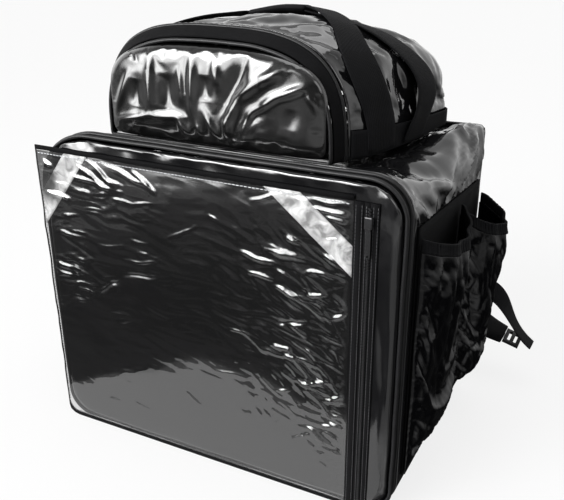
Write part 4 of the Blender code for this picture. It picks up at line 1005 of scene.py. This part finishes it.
# Creases of the film spread from the places where it is held: across and up in shares of the film,
# first and last direction in degrees, number, longest in mm, width mm, height mm
FILM_FANS = (
    (0.11, 0.99, -12, -34, 4, 80, 2.2, 1.0),
    (0.01, 0.73, 14, -16, 5, 75, 2.2, 0.7),
    (0.01, 0.60, 16, -12, 5, 80, 2.4, 0.7),
    (1.00, 0.89, 150, 190, 4, 60, 2.0, 1.2),
    (1.00, 0.77, 138, 172, 5, 90, 2.4, 1.1),
    (1.00, 0.66, 136, 170, 6, 100, 2.4, 1.2),
    (1.00, 0.56, 134, 168, 6, 100, 2.4, 1.2),
    (1.00, 0.46, 132, 172, 6, 100, 2.4, 1.3),
    (1.00, 0.36, 136, 178, 6, 100, 2.2, 1.4),
    (1.00, 0.26, 140, 186, 5, 85, 2.2, 1.5),
    (1.00, 0.17, 150, 190, 5, 70, 2.0, 1.3),
    (1.00, 0.08, 158, 184, 4, 60, 2.0, 1.1),
)

# Single sharp creases of the film, with both ends in its shares, then width mm, height mm
FILM_CREASES = (
    # round the left strip and below it
    (0.02, 0.97, 0.05, 0.95, 2.4, 1.4), (0.02, 0.86, 0.11, 0.85, 2.6, 2.0),
    (0.12, 0.93, 0.28, 0.91, 2.4, 1.3),
    (0.19, 0.99, 0.28, 0.92, 2.8, 1.7), (0.24, 0.99, 0.42, 0.93, 2.8, 1.7),
    (0.35, 0.98, 0.40, 0.94, 2.4, 1.3),
    (0.16, 0.83, 0.24, 0.83, 1.4, 0.6), (0.27, 0.88, 0.34, 0.87, 1.4, 0.7),
    (0.34, 0.87, 0.41, 0.89, 1.4, 0.6),
    (0.07, 0.79, 0.13, 0.80, 1.4, 0.5), (0.32, 0.75, 0.38, 0.75, 1.4, 0.5),
    (0.34, 0.71, 0.38, 0.71, 1.4, 0.45),
    (0.06, 0.61, 0.12, 0.58, 1.4, 0.5), (0.30, 0.67, 0.41, 0.69, 1.5, 0.5),
    (0.09, 0.74, 0.16, 0.74, 1.4, 0.45),
    (0.20, 0.71, 0.29, 0.72, 1.4, 0.45), (0.19, 0.54, 0.26, 0.59, 2.0, -0.8),
    (0.29, 0.62, 0.40, 0.64, 2.0, -0.7),
    (0.46, 0.79, 0.55, 0.84, 1.7, 0.5), (0.59, 0.88, 0.62, 0.87, 1.4, 0.6),
    # round the right strip
    (0.72, 0.95, 0.81, 0.99, 2.0, 1.0), (0.89, 0.99, 0.99, 0.99, 2.2, 1.5),
    (0.90, 0.96, 0.99, 0.96, 2.2, 1.5),
    (0.93, 0.94, 0.99, 0.94, 2.0, 1.4), (0.94, 0.91, 0.99, 0.89, 2.0, 1.4),
    (0.95, 0.83, 0.99, 0.79, 2.0, 1.2),
    (0.82, 0.86, 0.86, 0.85, 2.0, 1.1), (0.77, 0.81, 0.86, 0.81, 3.4, 2.0),
    (0.69, 0.79, 0.79, 0.77, 2.2, 1.4),
    # along the zip, from the top down
    (0.88, 0.77, 0.96, 0.77, 2.2, 1.4), (0.71, 0.73, 0.78, 0.72, 2.0, 1.2),
    (0.79, 0.70, 0.85, 0.68, 2.2, 1.4),
    (0.83, 0.69, 0.93, 0.64, 2.2, 1.7), (0.88, 0.70, 0.94, 0.71, 1.8, 1.2),
    (0.95, 0.64, 0.99, 0.66, 2.0, 1.3),
    (0.84, 0.58, 0.88, 0.56, 2.0, 1.2), (0.80, 0.58, 0.88, 0.61, 2.0, -1.0),
    (0.64, 0.52, 0.71, 0.51, 1.8, 0.8),
    (0.78, 0.50, 0.83, 0.50, 2.4, 1.6), (0.82, 0.50, 0.85, 0.46, 2.4, 1.6),
    (0.88, 0.51, 0.93, 0.48, 2.0, 1.2),
    (0.88, 0.44, 0.90, 0.38, 2.2, 1.3), (0.87, 0.39, 0.95, 0.42, 1.8, 1.0),
    (0.79, 0.34, 0.83, 0.36, 1.8, 0.9),
    (0.95, 0.36, 0.99, 0.39, 2.0, 1.3), (0.94, 0.31, 0.99, 0.31, 2.2, 1.4),
    (0.74, 0.37, 0.80, 0.32, 1.8, 0.9),
    # low, where the table is mirrored
    (0.14, 0.18, 0.35, 0.28, 5.0, 1.0), (0.58, 0.35, 0.69, 0.36, 3.0, 1.0),
    (0.17, 0.11, 0.23, 0.11, 1.8, 0.8),
    (0.27, 0.13, 0.35, 0.11, 1.8, 0.9), (0.48, 0.23, 0.54, 0.20, 2.0, 0.9),
    (0.77, 0.27, 0.83, 0.25, 2.0, 1.0),
    (0.83, 0.17, 0.90, 0.22, 2.0, 1.0),
)

FILM_CORNER = (FILM_LEFT, FILM_LOW)
FILM_SIZE = (FILM_RIGHT - FILM_LEFT, FILM_TOP - FILM_LOW)


def fan_folds(fans):
    """Rows for folds() of every fan; lengths, heights and starts vary in a fixed way along it."""
    rows = []
    for across, up, first, last, count, longest, width, height in fans:
        start = np.array(FILM_CORNER) + np.array((across, up)) * FILM_SIZE
        for k in range(count):
            beat = math.sin(12.9898 * (k + 1) + 30 * across + 53 * up)
            angle = math.radians(first + (last - first) * k / max(count - 1, 1) + 4 * beat)
            reach = longest * MM * (0.62 + 0.38 * math.sin(7.1 * k + 350 * up))
            skip = reach * (0.06 + 0.16 * (1 + beat))
            spots = [start]
            half, turn = (reach - skip) / 2, 0.16 if k % 2 else -0.16
            for way, step in ((angle, skip), (angle, half), (angle + turn, half)):
                spots.append(spots[-1] + step * np.array((math.cos(way), math.sin(way))))
            rise = height * (0.75 + 0.35 * beat) * (-0.7 if k % 3 == 1 else 1.0)
            ends = [(spot[0], 0.0, spot[1]) for spot in (spots[1], spots[3])]
            rows.append((*ends, width * (1 + 0.3 * beat), rise))
    return rows


film, fu, fv = lay_sheet("clear_pocket_film", 296, 268, lay_film, *FILM_SIZE)
base, outward = points_of(film), normals_of(film)
# Long wrinkles start at both sides, small ones lie everywhere, and broad swells carry them
left_wave, left_ridge = streaks(base, 0.024, 0.0060, 3, 1.0)
right_wave, right_ridge = streaks(base, 0.034, 0.0075, -36, 2.0)
small_wave, small_ridge = streaks(base, 0.030, 0.0080, -6, 3.0)
broad = field(base, (0.10, 1.0, 0.07), 8.0)
middle = field(base, (0.040, 1.0, 0.050), 14.0)
patchy = beyond(field(base, (0.045, 1.0, 0.028), 21.0), -0.05, 0.35)
on_left = beyond(0.50 - fu, 0.0, 0.30) * beyond(fv, 0.28, 0.45)
on_right = beyond(fu, 0.50, 0.90) * beyond(fv, 0.03, 0.20) * (1 - 0.6 * beyond(fv, 0.80, 0.97))
rise = 1.0 * broad + 0.55 * middle
rise = rise + 0.60 * on_left * patchy * (left_wave + 0.8 * left_ridge)
rise = rise + 0.75 * on_right * (0.35 + 0.65 * patchy) * (right_wave + 0.8 * right_ridge)
rise = rise + 0.30 * (0.55 + 0.6 * on_left * patchy + on_right) * (small_wave + 0.5 * small_ridge)
# Single creases wander a little from their straight lines
bent = base * (1, 0, 1)
bent[:, 2] += 3.0 * MM * field(base, (0.022, 1.0, 0.022), 30.0)
bent[:, 0] += 3.0 * MM * field(base, (0.022, 1.0, 0.022), 33.0)
rise = rise * MM + folds(bent, fan_folds(FILM_FANS) + placed(FILM_CREASES, FILM_CORNER, FILM_SIZE))
edge = np.minimum(np.minimum(fu, 1 - fu), np.minimum(fv, 1 - fv))
rise = rise * beyond(edge, 0.0, 0.025) + 0.7 * MM * beyond(edge, 0.0, 0.10)
put_points(film, base + outward * np.maximum(rise, -0.2 * MM)[:, None])
dress(film, FILM, ["window_film"])

for side in ("left", "right"):
    strip = soften("reflective_strip_" + side, "silver_strip_" + side, 0, 0.006, 50.0, lambda points, way: (
        0.3 * MM * field(points, (0.02,) * 3, 3.3) * (way[:, 1] < 0)))
    dress(strip, SILVER, ["reflective_strip_" + side])

for node, piece in (
    ("window_binding", "pocket_binding"),
    ("window_edge_tape", "pocket_edge_tape"),
    ("window_zip_tape_inner", "zip_tape_inner"),
    ("window_zip_tape_outer", "zip_tape_outer"),
    ("door_zip_tape", "door_tape"),
):
    tape = soften(node, piece, 0, 0.012)
    spots = points_of(tape)
    spots[:, 0] += soft_edge(spots)
    put_points(tape, spots)
    dress(tape, CLOTH, [node])


def make_coil():
    """Nylon coil: a rounded loop every 1.5 mm along the zip, hooked from both sides by turns."""
    bm = bmesh.new()
    low, high, pitch = FILM_LOW + 0.002, FILM_TOP - 0.002, 1.5 * MM
    for k in range(int((high - low) / pitch)):
        lean = 0.5 * MM if k % 2 else -0.5 * MM
        place = Matrix.Translation((COIL_X + lean, COIL_FRONT + 0.8 * MM, low + k * pitch))
        size = Matrix.Diagonal((2.6 * MM, 1.5 * MM, 0.95 * MM, 1.0))
        made = bmesh.ops.create_cube(bm, size=1.0, matrix=place @ size)
        rim = {edge for vert in made["verts"] for edge in vert.link_edges}
        bmesh.ops.bevel(bm, geom=list(rim), offset=0.25 * MM, affect="EDGES",
                        segments=1, profile=0.5, material=-1)
    return link_mesh("zip_coil", bm)


dress(make_coil(), NYLON, ["window_zip_coil"])

# Stitches: pale thread along the top of the film, dark thread on the tapes and the binding
inside = 3.0 * MM
stitch_y = FRONT_Y - 0.9 * MM
top_line = [
    (FILM_LEFT + 0.004, stitch_y, FILM_TOP - inside),
    (FILM_RIGHT - 0.002, stitch_y, FILM_TOP - inside),
]
dress(sew("film_top_stitches", [top_line], (0, -1, 0)), PALE_THREAD)
side_rows = [
    [(FILM_LEFT + inside, stitch_y, FILM_TOP - 0.006), (FILM_LEFT + inside, stitch_y, 0.022)],
    [(-0.200, stitch_y, FILM_LOW + inside), (FILM_RIGHT - 0.002, stitch_y, FILM_LOW + inside)],
]
for x in (0.1702, 0.1762, 0.1806, 0.1876, 0.1920):
    side_rows.append([
        (x, TAPE_FRONT - 0.1 * MM, FILM_LOW + 0.002),
        (x, TAPE_FRONT - 0.1 * MM, FILM_TOP - 0.002),
    ])
dress(sew("tape_stitches", side_rows, (0, -1, 0), 2.6, 1.0, 0.5), DARK_THREAD)


# Side panels, bottle pockets, hems, handles and shoulder straps

def lay_pocket(side, place, is_hem):
    """Wall of a bottle pocket, or the elastic hem that laps over its top."""
    span, drop, dip, bulge, lean = POCKETS[place]
    proud = 0.001 if is_hem else 0.0
    flip = side > 0

    def laid(u, v):
        u = 1 - u if flip else u
        y = span[0] + (span[1] - span[0]) * u
        top = seam_height(y) - drop - dip * 4 * u * (1 - u)
        low, high = (top - HEM_WIDTH - 1.8 * MM, top) if is_hem else (POCKET_LOW, top - HEM_WIDTH)
        z = low + (high - low) * v
        height = (z - POCKET_LOW) / (top - POCKET_LOW)
        swell = bulge * read(POCKET_ROWS, height)[:, 0]
        around = np.clip(np.sin(np.pi * u ** lean), 0, 1) ** 0.65
        gather = 2.2 * MM * np.sin(8 * np.pi * u) * height ** 2
        out = (swell + gather) * around
        return np.stack([side * (POCKET_X + 0.0015 + out + proud), y, z], axis=1)

    return laid


for side, label in ((1, "right"), (-1, "left")):
    panel = soften("side_panel_" + label, "side_cloth_" + label, 0, 0.010, 50.0, lambda points, way: (
        0.25 * MM * field(points, (0.04,) * 3, 2.4)))
    dress(panel, CLOTH, ["side_panel_" + label])
    for place, seed in (("front", 8.4), ("rear", 11.2)):
        name = place + "_" + label
        laid = lay_pocket(side, place, False)
        pocket, ku, kv = lay_sheet("slack_pocket_" + name, 60, 84, laid, 0.16, 0.26)
        base, outward = points_of(pocket), normals_of(pocket)
        rim = np.minimum(np.minimum(ku, 1 - ku) * 1.5, np.minimum(kv, 1 - kv))
        free = beyond(rim, 0.0, 0.08)
        start = 3.0 * MM * field(base, (0.03, 0.022, 0.07), seed)
        start += 1.5 * MM * field(base, (0.02, 0.010, 0.04), seed + 2)
        put_points(pocket, base + outward * (start * free)[:, None])
        buckle(pocket, 1 - free, 0.05, 0.008, weight=0.2, bend=1.5)
        crease(pocket, free, (0.03, 0.014, 0.060), 1.6, seed + 4, -0.2)
        dress(wall(pocket, 1.0 * MM), SHADED_SLACK, ["bottle_pocket_" + name])
        laid = lay_pocket(side, place, True)
        hem, hu, hv = lay_sheet("elastic_hem_" + name, 150, 6, laid, 0.15, HEM_WIDTH)
        base, outward = points_of(hem), normals_of(hem)
        ribs = 0.4 * MM * np.sin(2 * np.pi * hu * 34) * (0.6 + field(base, (0.02,) * 3, seed))
        ribs += 0.5 * MM * np.sin(np.pi * hv)
        put_points(hem, base + outward * (ribs * beyond(np.minimum(hu, 1 - hu), 0, 0.04))[:, None])
        dress(wall(hem, 2.6 * MM), WEBBING, ["hem_" + name])
        web = soften("handle_strap_" + name, "handle_web_" + name, 2, 0.02, 60.0)
        hang(web)
        dress(web, WEBBING, ["handle_strap_" + name])
    pad = soften("shoulder_strap_" + label, "shoulder_pad_" + label, 2, 0.02, 80.0, lambda points, way: (
        0.5 * MM * field(points, (0.03,) * 3, 5.1)))
    dress(pad, CLOTH, ["shoulder_strap_" + label])
    dress(soften("strap_webbing_" + label, "adjusting_web_" + label, 2, 0.02, 60.0), WEBBING,
          ["strap_webbing_" + label])
    finish_solid("strap_buckle_" + label, NYLON)
grip = soften("handle_grip", "handle_sleeve", 2, 0.01, 60.0)
hang(grip)
dress(grip, WEBBING, ["handle_grip"])
for node in ("window_zip_slider", "window_zip_pull"):
    finish_solid(node, PAINTED_ZINC)


# Stage, light and camera

def glowing_matte(name, colour, strength):
    """Matte paint with an even glow of its own, so that it stays pale up to its far edge."""
    material, _, shader, _ = begin(name, colour, 1.0)
    shader.inputs["Specular IOR Level"].default_value = 0.0
    shader.inputs["Emission Color"].default_value = paint("#f0f0f0")
    shader.inputs["Emission Strength"].default_value = strength
    return material


def make_floor():
    bm = bmesh.new()
    bmesh.ops.create_grid(bm, x_segments=1, y_segments=1, size=6.0)
    floor = link_mesh("pale_floor", bm)
    floor.data.materials.append(glowing_matte("matte_pale_floor", "#585858", 0.93))
    floor.visible_glossy = False


def make_near_table():
    """Edge of the pale table that only the gloss sees, low in the film."""
    bm = bmesh.new()
    bmesh.ops.create_grid(bm, x_segments=3, y_segments=1, size=0.5)
    front = iter(((-0.30, -0.165), (-0.14, -0.318), (-0.05, -0.325), (0.20, -0.262)))
    rear = iter((-0.30, -0.14, -0.05, 0.20))
    for vert in sorted(bm.verts, key=lambda v: (v.co.y, v.co.x)):
        x, y = next(front) if vert.co.y < 0 else (next(rear), 0.05)
        vert.co = (x, y, -0.001)
    table = link_mesh("near_table", bm)
    table.data.materials.append(glowing_matte("table_seen_in_the_gloss", "#000000", 1.2))
    table.visible_camera = False
    table.visible_diffuse = False
    table.visible_shadow = False


# Soft windows of the studio: direction, cosines where the glow is full and where it ends, strength
WINDOWS = (
    ((-0.56, -0.80, 0.24), 0.962, 0.885, 7.5),
    ((-0.60, -0.70, 0.36), 0.990, 0.955, 6.0),
    ((-0.20, -0.80, 0.55), 0.992, 0.955, 4.0),
    ((0.45, -0.75, -0.45), 0.93, 0.80, 0.30),
    ((-0.45, -0.89, -0.03), 0.9985, 0.992, 4.0),
    ((-0.72, -0.69, -0.02), 0.9985, 0.993, 3.0),
    ((0.70, -0.50, 0.50), 0.99, 0.94, 2.0),
    ((-0.95, 0.05, 0.30), 0.96, 0.88, 1.2),
)


def make_world():
    """Studio round the bag: dark room in front, pale wall behind, soft windows, pale ground to the camera."""
    world = bpy.data.worlds.new("studio")
    world.use_nodes = True
    tree = world.node_tree
    tree.nodes.clear()
    where = add(tree, "TexCoord")
    split = add(tree, "SeparateXYZ", None, {0: where.outputs["Generated"]})
    level = add(tree, "MapRange", None, {"Value": split.outputs[2], "From Min": -1.0, "From Max": 1.0})
    skies = []
    for stops in (
        ((0.0, "#303030"), (0.11, "#a0a0a0"), (0.17, "#a0a0a0"), (0.21, "#303030"), (0.25, "#303030"),
         (0.29, "#2c2c2c"), (0.33, "#606060"), (0.37, "#8c8c8c"), (0.43, "#8c8c8c"), (0.50, "#606060"),
         (0.60, "#383838"), (0.80, "#808080"), (1.0, "#c0c0c0")),
        ((0.0, "#202020"), (0.27, "#1c1c1c"), (0.345, "#8c8c8c"), (0.45, "#cccccc"), (0.50, "#f0f0f0"),
         (0.65, "#f0f0f0"), (0.80, "#d0d0d0"), (1.0, "#c0c0c0")),
    ):
        sky = add(tree, "ValToRGB", None, {0: level})
        bands = sky.color_ramp.elements
        bands[0].position, bands[0].color = stops[0][0], paint(stops[0][1])
        bands[1].position, bands[1].color = stops[-1][0], paint(stops[-1][1])
        for position, code in stops[1:-1]:
            bands.new(position).color = paint(code)
        skies.append(sky)
    rear = add(tree, "MapRange", {"interpolation_type": "SMOOTHSTEP"}, {
        "Value": split.outputs[1], "From Min": -0.45, "From Max": 0.15,
    })
    # Things that stand in the room in front, seen in the gloss as softly layered greys
    tall = add(tree, "VectorMath", {"operation": "MULTIPLY"}, {
        0: where.outputs["Generated"], 1: (3.2, 3.2, 15.0),
    })
    tall = add(tree, "VectorMath", {"operation": "ADD"}, {0: tall, 1: (5.0, 2.0, 0.0)})
    things = add(tree, "TexNoise", None, {"Vector": tall, "Scale": 1.0, "Detail": 2.0})
    shade = add(tree, "MapRange", {"interpolation_type": "SMOOTHSTEP"}, {
        "Value": things, "From Min": 0.36, "From Max": 0.62, "To Min": 0.55, "To Max": 1.6,
    })
    room = add(tree, "VectorMath", {"operation": "SCALE"}, {0: skies[0], "Scale": shade})
    light = add(tree, "Mix", {"data_type": "RGBA"}, {"Factor": rear, 6: room, 7: skies[1]}).outputs[2]
    for aim, full, end, strength in WINDOWS:
        facing = add(tree, "VectorMath", {"operation": "DOT_PRODUCT"}, {
            0: where.outputs["Generated"], 1: Vector(aim).normalized(),
        })
        glow = add(tree, "MapRange", {"interpolation_type": "SMOOTHSTEP"}, {
            "Value": facing.outputs["Value"], "From Min": end, "From Max": full, "To Max": strength,
        })
        light = add(tree, "Mix", {"data_type": "RGBA", "blend_type": "ADD"}, {
            "Factor": glow, 6: light, 7: (1.0, 1.0, 1.0, 1.0),
        })
        light.clamp_factor = False
        light = light.outputs[2]
    path = add(tree, "LightPath")
    studio = add(tree, "Background", None, {"Color": light, "Strength": 1.3})
    ground = add(tree, "Background", None, {"Color": paint("#f6f6f6")})
    both = add(tree, "MixShader", None, {0: path.outputs["Is Camera Ray"], 1: studio, 2: ground})
    add(tree, "OutputWorld", None, {"Surface": both})
    bpy.context.scene.world = world


def light_card(name, place, aim, width, height, power):
    data = bpy.data.lights.new(name, "AREA")
    data.shape = "RECTANGLE"
    data.size, data.size_y = width, height
    data.energy = power
    item = bpy.data.objects.new(name, data)
    item.location = place
    item.rotation_euler = (Vector(aim) - Vector(place)).to_track_quat("-Z", "Y").to_euler()
    bpy.context.scene.collection.objects.link(item)


def make_camera():
    data = bpy.data.cameras.new("camera")
    data.sensor_width = 36.0
    data.lens = LENS
    item = bpy.data.objects.new("camera", data)
    azimuth, elevation, roll = [math.radians(angle) for angle in CAMERA_TURN]
    out = Vector((math.sin(azimuth) * math.cos(elevation), -math.cos(azimuth) * math.cos(elevation),
                  math.sin(elevation)))
    right = Vector((0, 0, 1)).cross(out).normalized()
    up = out.cross(right)
    turned = Matrix((right, up, out)).transposed() @ Matrix.Rotation(roll, 3, "Z")
    item.matrix_world = Matrix.Translation(CAMERA_PLACE) @ turned.to_4x4()
    bpy.context.scene.collection.objects.link(item)
    bpy.context.scene.camera = item


make_floor()
make_near_table()
make_world()
make_camera()
light_card("window_upper_left", (-0.75, -1.6, 1.25), (0, 0, 0.35), 0.7, 0.5, 18)
light_card("ceiling_panel", (0.2, 0.1, 1.9), (0, 0, 0.3), 1.2, 1.2, 12)
bpy.context.scene.view_settings.view_transform = "Standard"
